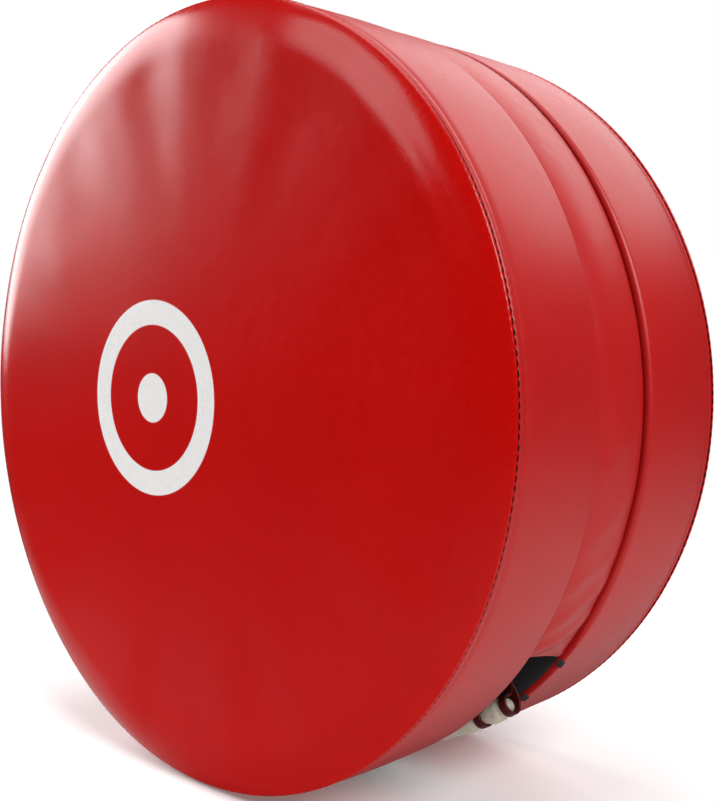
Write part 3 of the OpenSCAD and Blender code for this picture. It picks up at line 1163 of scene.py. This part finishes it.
def settle(
    obj: bpy.types.Object, body: str, nodes: Sequence[str] = (),
    bend: bool = False,
) -> bpy.types.Object:
    """Hangs a finished piece on the body that it rides on and hides the CAD nodes that it stands for.

    Args:
        obj: the piece, final and in place.
        body: the body that it rides on.
        nodes: the CAD nodes that it replaces.
        bend: bakes the piece's place into its mesh and leaves it unattached, in place of riding.

    Returns:
        The same piece.
    """
    if bend:
        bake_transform(obj)
    else:
        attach(obj, body)
    if nodes:
        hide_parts(*nodes)
    LOG.info("%s: %d faces on %s", obj.name, len(obj.data.polygons), body)
    return obj


# ---------------------------------------------------------------- band

@dataclass
class RimBand:
    """The padded strip that joins the pads round the rim and stops at the mouth."""

    layout: Layout
    end_front: float = -36.6
    end_rear: float = -39.3
    end_arch: float = 0.5
    thickness: float = 6.2 * MM
    lining_t: float = 1.2 * MM
    along: int = 560
    across: int = 30
    noise: ValueNoise = field(default_factory=lambda: ValueNoise(33))

    def ends(self, v: Array) -> tuple[Array, Array]:
        """First and last angle across the band; v runs from -1 at the front edge to 1 at the rear."""
        low = self.end_front + (self.end_rear - self.end_front) * (v + 1) / 2
        low = np.radians(low + self.end_arch * (1 - v**2))
        return low, math.pi - low

    def crest(self, t: Array, v: Array) -> Array:
        """Radius of the band's outside before it puckers."""
        sunk = recess(t)
        rear = (v + 1) / 2
        edge = self.layout.radius - 0.6 * MM - (6.0 - 3.2 * rear) * MM * sunk
        middle = self.layout.radius + 0.2 * MM - 2.0 * MM * sunk
        power = 1.9 + 1.4 * smoothstep(v, -0.2, 0.6)
        dome = np.clip(1 - np.abs(v) ** power, 0, 1) ** 0.95
        tuck = smoothstep(np.abs(v), 0.93, 1.0) * (0.6 * MM + 1.2 * MM * sunk)
        return edge + (middle - edge) * dome - tuck

    def folds(self, u: Array, v: Array, t: Array) -> Array:
        """Slanting folds where the band slackens towards its ends."""
        total = np.zeros(np.broadcast(u, v).shape)
        span = math.pi - 2 * math.radians(self.end_rear)
        arc = np.minimum(u, 1 - u) * span * self.layout.radius
        for start, lean, width, height in (
            (14, 15, 5.0, 1.5), (31, 20, 6.5, 1.3), (52, 17, 7.0, 0.9), (78, 22, 9.0, 0.6), (8, -9, 4.0, 0.6)
        ):
            line = arc - (start + lean * v) * MM
            total = total + np.exp(-((line / (width * MM)) ** 2)) * height * MM
        total = total * (1 - v**2) ** 0.7
        long = self.noise(arc * 60, v * 1.6 + 4, np.cos(t) * 2) * smoothstep(arc, 0.30, 0.03) * 0.5 * MM
        return total + long * (1 - v**2)

    def simulate(self) -> Callable[[Array, Array], Array]:
        """Lets the band pucker as cloth between its two seams."""
        nu, nv = 220, 15
        u = np.linspace(0, 1, nu)[:, None]
        v = np.linspace(-1, 1, nv)[None, :]
        low, high = self.ends(v)
        t = low + (high - low) * u
        r = self.crest(t, v)
        y = v * self.layout.band_half
        points = np.stack(np.broadcast_arrays(r * np.cos(t), y, r * np.sin(t)), -1)
        pinned = np.zeros((nu, nv))
        pinned[:, 0] = pinned[:, -1] = 1
        slack = smoothstep(np.minimum(u, 1 - u), 0.28, 0.02) * 0.8 + 0.2
        fullness = np.broadcast_to(slack, (nu, nv))
        sheet = ClothSheet("band", points, pinned, fullness, excess=0.02, pressure=0.8, bending=0.9, seed=9)
        moved = sheet.pucker()
        lift = (moved * np.stack(np.broadcast_arrays(np.cos(t), 0 * t, np.sin(t)), -1)).sum(-1)
        lift = np.clip(lift * 0.6, -0.9 * MM, 1.2 * MM)

        def read(at_u: Array, at_v: Array) -> Array:
            """The puckers' height over a grid of u by v."""
            rows = resample(lift, np.clip(np.ravel(at_u), 0, 1) * (nu - 1))
            return resample(rows.T, (np.clip(np.ravel(at_v), -1, 1) + 1) / 2 * (nv - 1)).T

        return read

    def build(self, wardrobe: Wardrobe, stitcher: Stitcher) -> None:
        """Builds, dresses and places every piece of the band."""
        puckers = self.simulate()
        u = np.linspace(0, 1, self.along)[:, None]
        v = np.sin(np.linspace(-math.pi / 2, math.pi / 2, self.across))[None, :]
        low, high = self.ends(v)
        t = low + (high - low) * u
        from_end = np.minimum(u, 1 - u) * (high - low) * self.layout.radius
        outer = self.crest(t, v) + self.folds(u, v, t) + puckers(u, v)
        thin = 1 - 0.5 * smoothstep(from_end, 18 * MM, 2 * MM)
        hem = np.sqrt(np.clip(1 - ((2.2 * MM - np.minimum(from_end, 2.2 * MM)) / (2.2 * MM)) ** 2, 0.02, 1))
        wall = self.thickness * thin * hem
        middle = outer - self.thickness * thin / 2
        y = np.broadcast_to(v * self.layout.band_half, outer.shape)
        cover = self._shell("band_cover_leather", t, middle + wall / 2, middle - wall / 2, y)
        wardrobe.dress(cover, Finish.BAND)
        settle(cover, "rear_pad", ["band_cover", "band_padding"], bend=True)
        inside = middle - wall / 2
        keep = slice(6, -6)
        lining = self._shell(
            "band_lining_cloth", t[keep], inside[keep] - 0.1 * MM, inside[keep] - self.lining_t, y[keep] * 0.98
        )
        wardrobe.dress(lining, Finish.LINING)
        settle(lining, "rear_pad", ["band_lining"], bend=True)
        self._bindings(wardrobe, v, middle)
        for label, sign in (("front", -1), ("rear", 1)):
            edge = np.linspace(0.004, 0.996, 900)
            at = self.ends(np.array([sign * 0.97]))
            a = at[0] + (at[1] - at[0]) * edge
            r = self.crest(a, np.full_like(a, sign * 0.965)) + 0.3 * MM
            path = np.stack([r * np.cos(a), np.full_like(a, sign * self.layout.band_half * 0.975), r * np.sin(a)], 1)
            sewn = stitcher.sew(f"band_stitches_{label}", [path], Finish.SEAM, thickness=0.7 * MM)
            settle(sewn, f"{label}_pad", [f"band_thread_{label}"])

    def _shell(self, name: str, t: Array, outer: Array, inner: Array, y: Array) -> bpy.types.Object:
        """A closed strip between an outer and an inner radius."""
        r = np.hstack([outer, inner[:, ::-1]])
        a = np.hstack([np.broadcast_to(t, outer.shape), np.broadcast_to(t, inner.shape)[:, ::-1]])
        depth = np.hstack([y, y[:, ::-1]])
        points = np.stack([r * np.cos(a), depth, r * np.sin(a)], -1)
        return Shape.grid(name, points, wrap_v=True, cap_u=True)

    def _bindings(self, wardrobe: Wardrobe, v: Array, middle: Array) -> None:
        """The rolled edge at each end of the band."""
        section = Shape.slab(4.5 * MM, self.thickness * 0.5 + 0.3 * MM, 1.3 * MM, side=3)
        for label, row in (("right", 0), ("left", -1)):
            a = self.ends(v)[0 if row == 0 else 1].ravel()
            shift = math.copysign(1.6 * MM / self.layout.radius, 1 if row == 0 else -1)
            r = middle[row]
            across = v.ravel() * self.layout.band_half * 0.985
            path = np.stack([r * np.cos(a + shift), across, r * np.sin(a + shift)], 1)
            out = np.stack([np.cos(a), 0 * a, np.sin(a)], 1)
            roll = Shape.sweep(f"band_hem_{label}", path, section, out)
            wardrobe.dress(roll, Finish.BAND)
            settle(roll, "rear_pad", [f"band_binding_{label}"], bend=True)


# ---------------------------------------------------------------- mouth rail

@dataclass
class MouthRail:
    """The padded roll along the mouth, drawn tight by red loops near its ends."""

    layout: Layout
    half_turn: float = math.radians(42)
    loop_width: float = 5 * MM
    loop_inset: float = 8 * MM
    loop_pitch: float = 19.5 * MM
    pinch: float = 4.3 * MM
    full: float = 5.9 * MM
    set_in: float = 2.6 * MM
    set_back: float = 6.2 * MM
    core: float = 3.3 * MM
    noise: ValueNoise = field(default_factory=lambda: ValueNoise(45))

    def __post_init__(self) -> None:
        """Works out the rail's arc: its ends lie at the rim and its middle just inside it."""
        big = self.layout.radius
        x, z = big * math.sin(self.half_turn), -big * math.cos(self.half_turn)
        dip = big - self.layout.rail_radius - self.set_in
        sag = dip + z
        self.rho = (x * x + sag * sag) / (2 * sag)
        self.centre_z = self.rho - dip
        self.sweep = math.asin(x / self.rho)

    def at(self, a: Array) -> Array:
        """Points of the rail's middle at angles from straight down."""
        a = np.asarray(a, float)
        return np.stack(
            [self.rho * np.sin(a), np.full_like(a, self.layout.rail_y), self.centre_z - self.rho * np.cos(a)], -1
        )

    def inward(self, a: Array) -> Array:
        """Directions from the rail towards the middle of the pad."""
        a = np.asarray(a, float)
        return np.stack([-np.sin(a), np.zeros_like(a), np.cos(a)], -1)

    @property
    def loops(self) -> list[float]:
        """Angles of the right-hand loops."""
        return [self.sweep - (self.loop_inset + k * self.loop_pitch) / self.rho for k in (0, 1)]

    def build(self, wardrobe: Wardrobe) -> None:
        """Builds, dresses and places every piece of the rail."""
        reach = self.sweep - self.set_back / self.rho
        a = np.linspace(-reach, reach, 520)
        near = np.min([np.abs(np.abs(a) - spot) for spot in self.loops], axis=0) * self.rho
        size = self.pinch + (self.full - self.pinch) * smoothstep(near, 1.8 * MM, 7.5 * MM)
        size = size + self.noise(a * 30, 0.5, 0.5) * 0.35 * MM
        from_end = (a[-1] - np.abs(a)) * self.rho
        size = size * np.sqrt(np.clip(1 - (1 - np.minimum(from_end, 5 * MM) / (5 * MM)) ** 2, 0.004, 1))
        phi = np.linspace(0, 2 * math.pi, 44, endpoint=False)[None, :]
        gather = np.exp(-((near / (4.5 * MM)) ** 2))[:, None]
        crease = np.cos(phi * 11 + self.noise(a * 12, 2.5, 0.5)[:, None] * 3) * 0.05 * gather
        lump = self.noise(np.cos(phi) * 1.5 + 8, np.sin(phi) * 1.5 + 8, a[:, None] * 26) * 0.06
        radius = size[:, None] * (1 + crease + lump)
        out = np.array([0.0, 1.0, 0.0])[None, None, :] * np.cos(phi)[..., None]
        ring = out + self.inward(a)[:, None, :] * np.sin(phi)[..., None]
        roll = Shape.grid("rail_roll", self.at(a)[:, None, :] + ring * radius[..., None], wrap_v=True, cap_u=True)
        wardrobe.dress(roll, Finish.RAIL)
        settle(roll, "rear_pad", ["rail_cover"])
        inner = a[4:-4]
        core = Shape.sweep("rail_rope_laid", self.at(inner), Shape.ring(20) * self.core, np.array([0, 1.0, 0]))
        wardrobe.dress(core, Finish.ROPE)
        settle(core, "rear_pad", ["rail_rope"])
        for label, sign in (("right", 1), ("left", -1)):
            parts = [self._loop(f"loop_{label}_{k}", sign * spot) for k, spot in enumerate(self.loops)]
            loops = Shape.join(f"rail_ties_{label}", parts)
            wardrobe.dress(loops, Finish.LOOP)
            settle(loops, "rear_pad", [f"rail_loops_{label}"])

    def _loop(self, name: str, a: float) -> bpy.types.Object:
        """One loop that holds the rail to the rear lining."""
        reach = self.layout.half_gap - self.layout.rail_y - 0.9 * MM
        tight = self.pinch + 0.7 * MM
        turn = np.radians(np.linspace(62, 360 - 28, 40))
        arc = np.stack([np.cos(turn), np.sin(turn)], 1) * tight
        tab = np.array([[reach - 0.9 * MM, 15 * MM], [reach - 0.9 * MM, 8.5 * MM]])
        back = np.array([[reach, 1 * MM], [reach, 8 * MM], [reach, 15.5 * MM]])
        flat = np.vstack([tab, arc, back])
        out, inward = np.array([0.0, 1.0, 0.0]), self.inward(a)
        path = smooth_path(self.at(a) + flat[:, :1] * out + flat[:, 1:] * inward, 2)
        along = np.cross(out, inward)
        section = Shape.slab(1.3 * MM, self.loop_width, 0.5 * MM, side=0)
        return Shape.sweep(name, path, section, along)


def smooth_path(points: Array, rounds: int = 3) -> Array:
    """Cuts a path's corners until it runs smoothly, and keeps its ends."""
    for _ in range(rounds):
        a, b = points[:-1], points[1:]
        cut = np.stack([a * 0.75 + b * 0.25, a * 0.25 + b * 0.75], 1).reshape(-1, points.shape[1])
        points = np.vstack([points[:1], cut, points[-1:]])
    return points


# ---------------------------------------------------------------- grip

@dataclass
class SwingGrip:
    """The rope grip with its padded sleeve, and the sewn tabs that its ends turn in."""

    layout: Layout
    rope_r: float = 4.9 * MM

    def route(self) -> Array:
        """The rope's middle from end to end, in the row frame."""
        tab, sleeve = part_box("grip_tab_right"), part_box("grip_sleeve")
        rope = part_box("grip_rope")
        pivot_y = frame_joint("grip_swing")["pos_m"][1]
        bar_y = (sleeve[0][1] + sleeve[1][1]) / 2
        leg_x, foot_x, end_x = sleeve[1][0] + 5 * MM, tab[0][0] - 5 * MM, rope[1][0]
        half = [
            (end_x, pivot_y), (tab[0][0] + 4 * MM, pivot_y), (foot_x + 1 * MM, pivot_y),
            (leg_x, bar_y), (leg_x - 9 * MM, bar_y), (0.02, bar_y),
        ]
        flat = half + [(-x, y) for x, y in reversed(half)]
        return smooth_path(np.array([(x, y, self.layout.grip_z) for x, y in flat]), 4)

    def build(self, wardrobe: Wardrobe, stitcher: Stitcher) -> None:
        """Builds, dresses and places every piece of the grip."""
        path = self.route()
        steps = np.linalg.norm(np.diff(path, axis=0), axis=1)
        run = np.concatenate([[0], np.cumsum(steps)])
        even = np.linspace(0, run[-1], 360)
        path = np.stack([np.interp(even, run, path[:, k]) for k in range(3)], 1)
        tangent = np.gradient(path, axis=0)
        tangent /= np.linalg.norm(tangent, axis=1, keepdims=True)
        up = np.array([0.0, 0.0, 1.0])
        across = np.cross(tangent, up)
        phi = np.linspace(0, 2 * math.pi, 36, endpoint=False)[None, :]
        plies = 1 - 0.10 * np.abs(np.sin(1.5 * (phi - even[:, None] / (3.2 * MM))))
        ring = across[:, None, :] * np.cos(phi)[..., None] + up * np.sin(phi)[..., None]
        rope = Shape.grid(
            "grip_rope_laid", path[:, None, :] + ring * (self.rope_r * plies)[..., None], wrap_v=True, cap_u=True
        )
        wardrobe.dress(rope, Finish.ROPE)
        settle(rope, "grip", ["grip_rope"])
        self._sleeve(wardrobe, stitcher)
        for label, sign in (("right", 1), ("left", -1)):
            self._tab(wardrobe, stitcher, label, sign)

    def _sleeve(self, wardrobe: Wardrobe, stitcher: Stitcher) -> None:
        """The padded sleeve, drawn in at both ends, with a sewn seam along it."""
        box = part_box("grip_sleeve")
        x = np.linspace(box[0][0], box[1][0], 150)
        radius = (box[1][2] - box[0][2]) / 2
        s = np.abs(x) / box[1][0]
        size = radius * (1 - 0.12 * s**2) * np.sqrt(np.clip(1 - smoothstep(s, 0.93, 1.0) * 0.75, 0, 1))
        size = size + ValueNoise(51)(x * 90, 0.3, 0.3) * 0.2 * MM
        path = np.stack([x, np.full_like(x, (box[0][1] + box[1][1]) / 2), np.full_like(x, self.layout.grip_z)], 1)
        sleeve = Shape.sweep("grip_sleeve_padded", path, Shape.ring(56), np.array([0, 0, 1.0]), size)
        wardrobe.dress(sleeve, Finish.GRIP)
        settle(sleeve, "grip", ["grip_sleeve"])
        rows = [path[12:-12] + np.array([0, radius * 0.97 * math.cos(a), radius * 0.97 * math.sin(a)])
                for a in (math.radians(84), math.radians(96))]
        sewn = stitcher.sew("grip_sleeve_stitches", rows, Finish.LINING_THREAD, thickness=0.7 * MM)
        settle(sewn, "grip")

    def _tab(self, wardrobe: Wardrobe, stitcher: Stitcher, label: str, sign: int) -> None:
        """A strip that arches over the rope's end on a sewn-down patch."""
        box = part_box(f"grip_tab_{label}")
        pivot_y = frame_joint("grip_swing")["pos_m"][1]
        wall, lining = 1.3 * MM, self.layout.half_gap
        tight = lining - pivot_y - 0.8 * MM
        half = (box[1][2] - box[0][2]) / 2
        arch = np.radians(np.linspace(-35, 215, 30))
        arc = np.stack([tight * np.cos(arch), pivot_y - tight * np.sin(arch)], 1)
        ground = lining - wall / 2 - 0.7 * MM
        flat = np.vstack([[half, ground], [half * 0.62, ground], arc[2:-2], [-half * 0.62, ground], [-half, ground]])
        inner_x = box[0][0] if sign > 0 else box[1][0]
        middle_x = inner_x + sign * 7 * MM
        path = smooth_path(np.stack([np.full(len(flat), middle_x), flat[:, 1], self.layout.grip_z + flat[:, 0]], 1), 2)
        strip = Shape.sweep("strip", path, Shape.slab(wall, 13.6 * MM, 0.5 * MM, side=0), np.array([1.0, 0, 0]))
        patch_x = (box[0][0] + box[1][0]) / 2
        patch = plate("patch", patch_x, lining - 0.45 * MM, self.layout.grip_z,
                      (box[1][0] - box[0][0]), 2 * half, 0.8 * MM, 4 * MM)
        tab = Shape.join(f"grip_tab_{label}_sewn", [strip, patch])
        wardrobe.dress(tab, Finish.LOOP)
        settle(tab, "rear_pad", [f"grip_tab_{label}"])
        frame_path = box_path(patch_x, lining - 0.95 * MM, self.layout.grip_z,
                              (box[1][0] - box[0][0]) - 4 * MM, 2 * half - 4 * MM)
        sewn = stitcher.sew(f"grip_tab_{label}_stitches", [frame_path], Finish.LINING_THREAD, closed=True,
                            pitch=3 * MM, length=2.2 * MM, thickness=0.7 * MM)
        settle(sewn, "rear_pad")


def frame_joint(name: str) -> dict:
    """The record's entry for a joint."""
    return next(j for j in frame["record"]["behaviour"]["joints"] if j["name"] == name)


def plate(
    name: str, x: float, y: float, z: float, width: float, height: float, thick: float, corner: float
) -> bpy.types.Object:
    """A thin patch on the lining with rounded corners and softened edges.

    Args:
        name: the object's name.
        x: its middle along X.
        y: its middle along Y.
        z: its middle along Z.
        width: its size along X.
        height: its size along Z.
        thick: its size along Y.
        corner: radius of its corners.

    Returns:
        The new object.
    """
    outline = Shape.slab(width, height, corner, steps=6, side=0)
    rows = []
    for grow, lift in ((-0.6, -0.5), (-0.15, -0.35), (0, 0), (-0.15, 0.35), (-0.6, 0.5)):
        shrink = 1 + 2 * grow * thick / np.array([width, height])
        flat = outline * shrink
        rows.append(np.stack([x + flat[:, 0], np.full(len(flat), y + lift * thick), z + flat[:, 1]], 1))
    return Shape.grid(name, np.array(rows), wrap_v=True, cap_u=True)


def box_path(x: float, y: float, z: float, width: float, height: float) -> Array:
    """A rectangle of points on the lining, for a row of stitches round a patch."""
    outline = Shape.slab(width, height, 2 * MM, steps=3, side=0)
    ring = np.vstack([outline, outline[:1]])
    dense = np.vstack([np.linspace(a, b, 9)[:-1] for a, b in zip(ring[:-1], ring[1:])])
    return np.stack([x + dense[:, 0], np.full(len(dense), y), z + dense[:, 1]], 1)


# ---------------------------------------------------------------- forearm strap

@dataclass
class ForearmStrap:
    """The padded strap over the forearm and the webbing tail that laps over it."""

    layout: Layout

    def build(self, wardrobe: Wardrobe, stitcher: Stitcher) -> None:
        """Builds, dresses and places every piece of the strap."""
        band, tail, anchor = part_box("strap_band"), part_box("strap_tail"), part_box("strap_anchor")
        lining, z = self.layout.half_gap, self.layout.strap_z
        thick = 2.5 * MM
        high = band[0][1] + thick / 2
        low = lining - thick / 2 - 0.1 * MM
        right = band[1][0]
        ramp_top, ramp_foot = right - 42 * MM, right - 24 * MM
        path = self._path([(band[0][0], high), (0, high), (ramp_top, high), (ramp_foot, low), (right, low)])
        width = band[1][2] - band[0][2]
        section = Shape.slab(width, thick, 1.1 * MM, side=8)[:, ::-1]
        strap = Shape.sweep("strap_padded", path, section, np.array([0, 0, 1.0]))
        wardrobe.dress(strap, Finish.STRAP)
        settle(strap, "rear_pad", ["strap_band"])
        edge = (width / 2 - 3 * MM) * np.array([0, 0, 1.0])
        lift = np.array([0, -thick / 2 - 0.1 * MM, 0])
        sewn = stitcher.sew("strap_stitches", [path + edge + lift, path - edge + lift], Finish.SEAM,
                            pitch=3.4 * MM, length=2.5 * MM, thickness=0.7 * MM)
        settle(sewn, "rear_pad")
        self._webbing(wardrobe, stitcher, tail, anchor, lining, z)
        for node, finish, corner, body in (
            ("strap_loop_patch", Finish.LOOP_PILE, 2, "rear_pad"), ("strap_hook_patch", Finish.HOOK, 2, "strap_tail"),
            ("strap_patch_right", Finish.WEBBING, 4, "rear_pad"), ("strap_patch_left", Finish.WEBBING, 4, "rear_pad"),
        ):
            self._patch(wardrobe, stitcher, node, finish, corner * MM, body)

    def _path(self, flat: Sequence[tuple[float, float]]) -> Array:
        """A smooth path in the strap's plane."""
        return smooth_path(np.array([(x, y, self.layout.strap_z) for x, y in flat]), 4)

    def _webbing(
        self, wardrobe: Wardrobe, stitcher: Stitcher, tail: tuple, anchor: tuple, lining: float, z: float
    ) -> None:
        """The tail and the end of the same webbing that is sewn down."""
        thick = 1.8 * MM
        width = tail[1][2] - tail[0][2]
        top = tail[0][1] + thick / 2 + 0.1 * MM
        start = frame_joint("tail_peel")["pos_m"]
        section = Shape.slab(width, thick, 0.7 * MM, side=8)[:, ::-1]
        path = self._path([(start[0], start[1] - 1 * MM), (start[0] + 18 * MM, top), (0, top), (tail[1][0], top)])
        strip = Shape.sweep("strap_tail_webbing", path, section, np.array([0, 0, 1.0]))
        wardrobe.dress(strip, Finish.WEBBING)
        settle(strip, "strap_tail", ["strap_tail"])
        foot = self._path([(anchor[0][0], lining - 1.1 * MM), (anchor[1][0], lining - 1.1 * MM),
                           (start[0] + 0.5 * MM, start[1] - 1.2 * MM)])
        base = Shape.sweep("strap_anchor_webbing", foot, section, np.array([0, 0, 1.0]))
        wardrobe.dress(base, Finish.WEBBING)
        settle(base, "rear_pad", ["strap_anchor"])
        hem = box_path(tail[1][0] - 9 * MM, tail[0][1] - 0.05 * MM, z, 12 * MM, width - 6 * MM)
        sewn = stitcher.sew("strap_tail_stitches", [hem], Finish.LINING_THREAD, closed=True,
                            pitch=3 * MM, length=2.2 * MM, thickness=0.7 * MM)
        settle(sewn, "strap_tail")

    def _patch(
        self, wardrobe: Wardrobe, stitcher: Stitcher, node: str, finish: Finish, corner: float, body: str
    ) -> None:
        """A sewn patch in the place of a CAD one."""
        low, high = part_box(node)
        middle = [(a + b) / 2 for a, b in zip(low, high)]
        size = [b - a for a, b in zip(low, high)]
        piece = plate(f"{node}_sewn", *middle, size[0], size[2], size[1], corner)
        wardrobe.dress(piece, finish)
        settle(piece, body, [node])
        under = node == "strap_hook_patch"
        if not under:
            path = box_path(middle[0], low[1] - 0.1 * MM, middle[2], size[0] - 4 * MM, size[2] - 4 * MM)
            sewn = stitcher.sew(f"{node}_stitches", [path], Finish.LINING_THREAD, closed=True,
                                pitch=3 * MM, length=2.2 * MM, thickness=0.7 * MM)
            settle(sewn, body)


# ---------------------------------------------------------------- studio

@dataclass(frozen=True)
class Softbox:
    """A studio light that faces the pad: a rectangle, or a disc where it is round."""

    name: str
    place: tuple[float, float, float]
    size: tuple[float, float]
    glow: float
    aim: tuple[float, float, float] = (0.0, 0.0, 0.0)
    disc: bool = False

    def hang(self) -> None:
        """Adds the light to the scene; its power follows from its size and its glow."""
        data = bpy.data.lights.new(self.name, "AREA")
        data.shape = "ELLIPSE" if self.disc else "RECTANGLE"
        data.size, data.size_y = self.size
        area = self.size[0] * self.size[1] * (math.pi / 4 if self.disc else 1.0)
        data.energy = self.glow * 4 * area
        lamp = bpy.data.objects.new(self.name, data)
        lamp.location = self.place
        lamp.rotation_euler = (Vector(self.aim) - Vector(self.place)).to_track_quat("-Z", "Y").to_euler()
        bpy.context.scene.collection.objects.link(lamp)


@dataclass
class Studio:
    """Pale floor, soft light and the camera."""

    layout: Layout
    eye: tuple[float, float, float] = (0.4628, -0.4487, 0.0280)
    look: tuple[float, float, float] = (-0.690, 0.722, -0.0488)
    up: tuple[float, float, float] = (-0.034, 0.035, 0.999)
    lens: float = 51.2
    boxes: tuple[Softbox, ...] = (
        Softbox("left_umbrella", (-1.22, -0.34, 0.52), (1.05, 1.05), 4.9, disc=True),
        Softbox("front_box", (-0.42, -1.15, 0.92), (0.6, 0.65), 3.2),
        Softbox("overhead", (0.0, -0.1, 1.25), (1.0, 0.9), 2.4),
        Softbox("back_bank", (0.1, 1.0, 0.95), (1.4, 0.9), 1.65),
        Softbox("key", (1.55, -0.50, 1.10), (0.9, 0.9), 9.5),
    )

    def build(self) -> None:
        """Adds everything round the object."""
        self._floor()
        self._world()
        for softbox in self.boxes:
            softbox.hang()
        self._camera()
        bpy.context.scene.view_settings.view_transform = "Standard"

    def _floor(self) -> None:
        """A wide pale floor under the rim."""
        level = CAD_BOX[0][2] - 1.2 * MM
        angles = np.linspace(0, 2 * math.pi, 96, endpoint=False)
        rim = np.stack([np.cos(angles), np.sin(angles), 0 * angles], 1) * 1.3 + np.array([0, 0, level])
        floor = Shape.from_data("floor", rim, [tuple(range(96))], close=False)
        tree = Tree("studio_floor")
        x, y, _ = tree.axes(tree.place())
        fade = 1 - ((x * x + y * y).root() + (tree.noise(tree.place(), 3.0) - 0.5) * 0.05).ramp(0.35, 1.15)
        color = tree.mix(tree.noise(tree.place(), 3.0), (0.90, 0.90, 0.90), (0.93, 0.93, 0.93))
        floor.data.materials.append(
            tree.finish(
                Base_Color=color, Alpha=fade, Roughness=0.7, Specular_IOR_Level=0.1,
                Emission_Color=(1.0, 1.0, 1.0, 1.0), Emission_Strength=0.14,
            )
        )
        floor.visible_glossy = False
        floor.visible_shadow = False

    def _world(self) -> None:
        """White behind the object and a dimmer surround for its light."""
        world = bpy.data.worlds.new("studio")
        tree = Tree("studio_world", world)
        way = tree.node("ShaderNodeTexCoord", {}, {})[0]
        x, y, z = tree.axes(way)
        back_floor = (-z).ramp(0.10, 0.5) * y.ramp(0.0, 0.35) * x.ramp(-0.36, -0.10) * 0.62
        left_floor = (-z).ramp(0.20, 0.30) * (-x).ramp(0.74, 0.84) * 0.5
        seen = tree.node("ShaderNodeBackground", {}, {"Color": (1.0, 1.0, 1.0, 1.0), "Strength": 1.0})[0]
        felt = tree.node("ShaderNodeBackground", {}, {
            "Color": (1.0, 1.0, 1.0, 1.0), "Strength": back_floor + left_floor + 0.04,
        })[0]
        camera_ray = tree.node("ShaderNodeLightPath", {}, {})[0]
        shown = tree.node("ShaderNodeMixShader", {}, {0: camera_ray, 1: felt, 2: seen})[0]
        tree.node("ShaderNodeOutputWorld", {}, {"Surface": shown})
        bpy.context.scene.world = world

    def _camera(self) -> None:
        """A camera close to the right front of the pad, just above its middle."""
        data = bpy.data.cameras.new("camera")
        data.lens = self.lens
        data.sensor_width = 36.0
        data.clip_start = 0.01
        camera = bpy.data.objects.new("camera", data)
        back = -Vector(self.look).normalized()
        right = Vector(self.up).cross(back).normalized()
        turned = Matrix((right, back.cross(right), back)).transposed().to_4x4()
        camera.matrix_world = Matrix.Translation(self.eye) @ turned
        bpy.context.scene.collection.objects.link(camera)
        bpy.context.scene.camera = camera


LAYOUT = Layout.from_frame()


def main() -> None:
    """Builds the pad piece by piece, then the studio round it."""
    logging.basicConfig(level=logging.INFO, format="%(name)s: %(message)s")
    wardrobe = Wardrobe()
    stitcher = Stitcher(wardrobe)
    front, rear = DrumPad(LAYOUT, Side.FRONT), DrumPad(LAYOUT, Side.REAR)
    folds = front.simulate()
    front.build(wardrobe, stitcher, folds)
    rear.build(wardrobe, stitcher, folds)
    RimBand(LAYOUT).build(wardrobe, stitcher)
    MouthRail(LAYOUT).build(wardrobe)
    SwingGrip(LAYOUT).build(wardrobe, stitcher)
    ForearmStrap(LAYOUT).build(wardrobe, stitcher)
    Studio(LAYOUT).build()


if __name__ == "__main__":
    main()
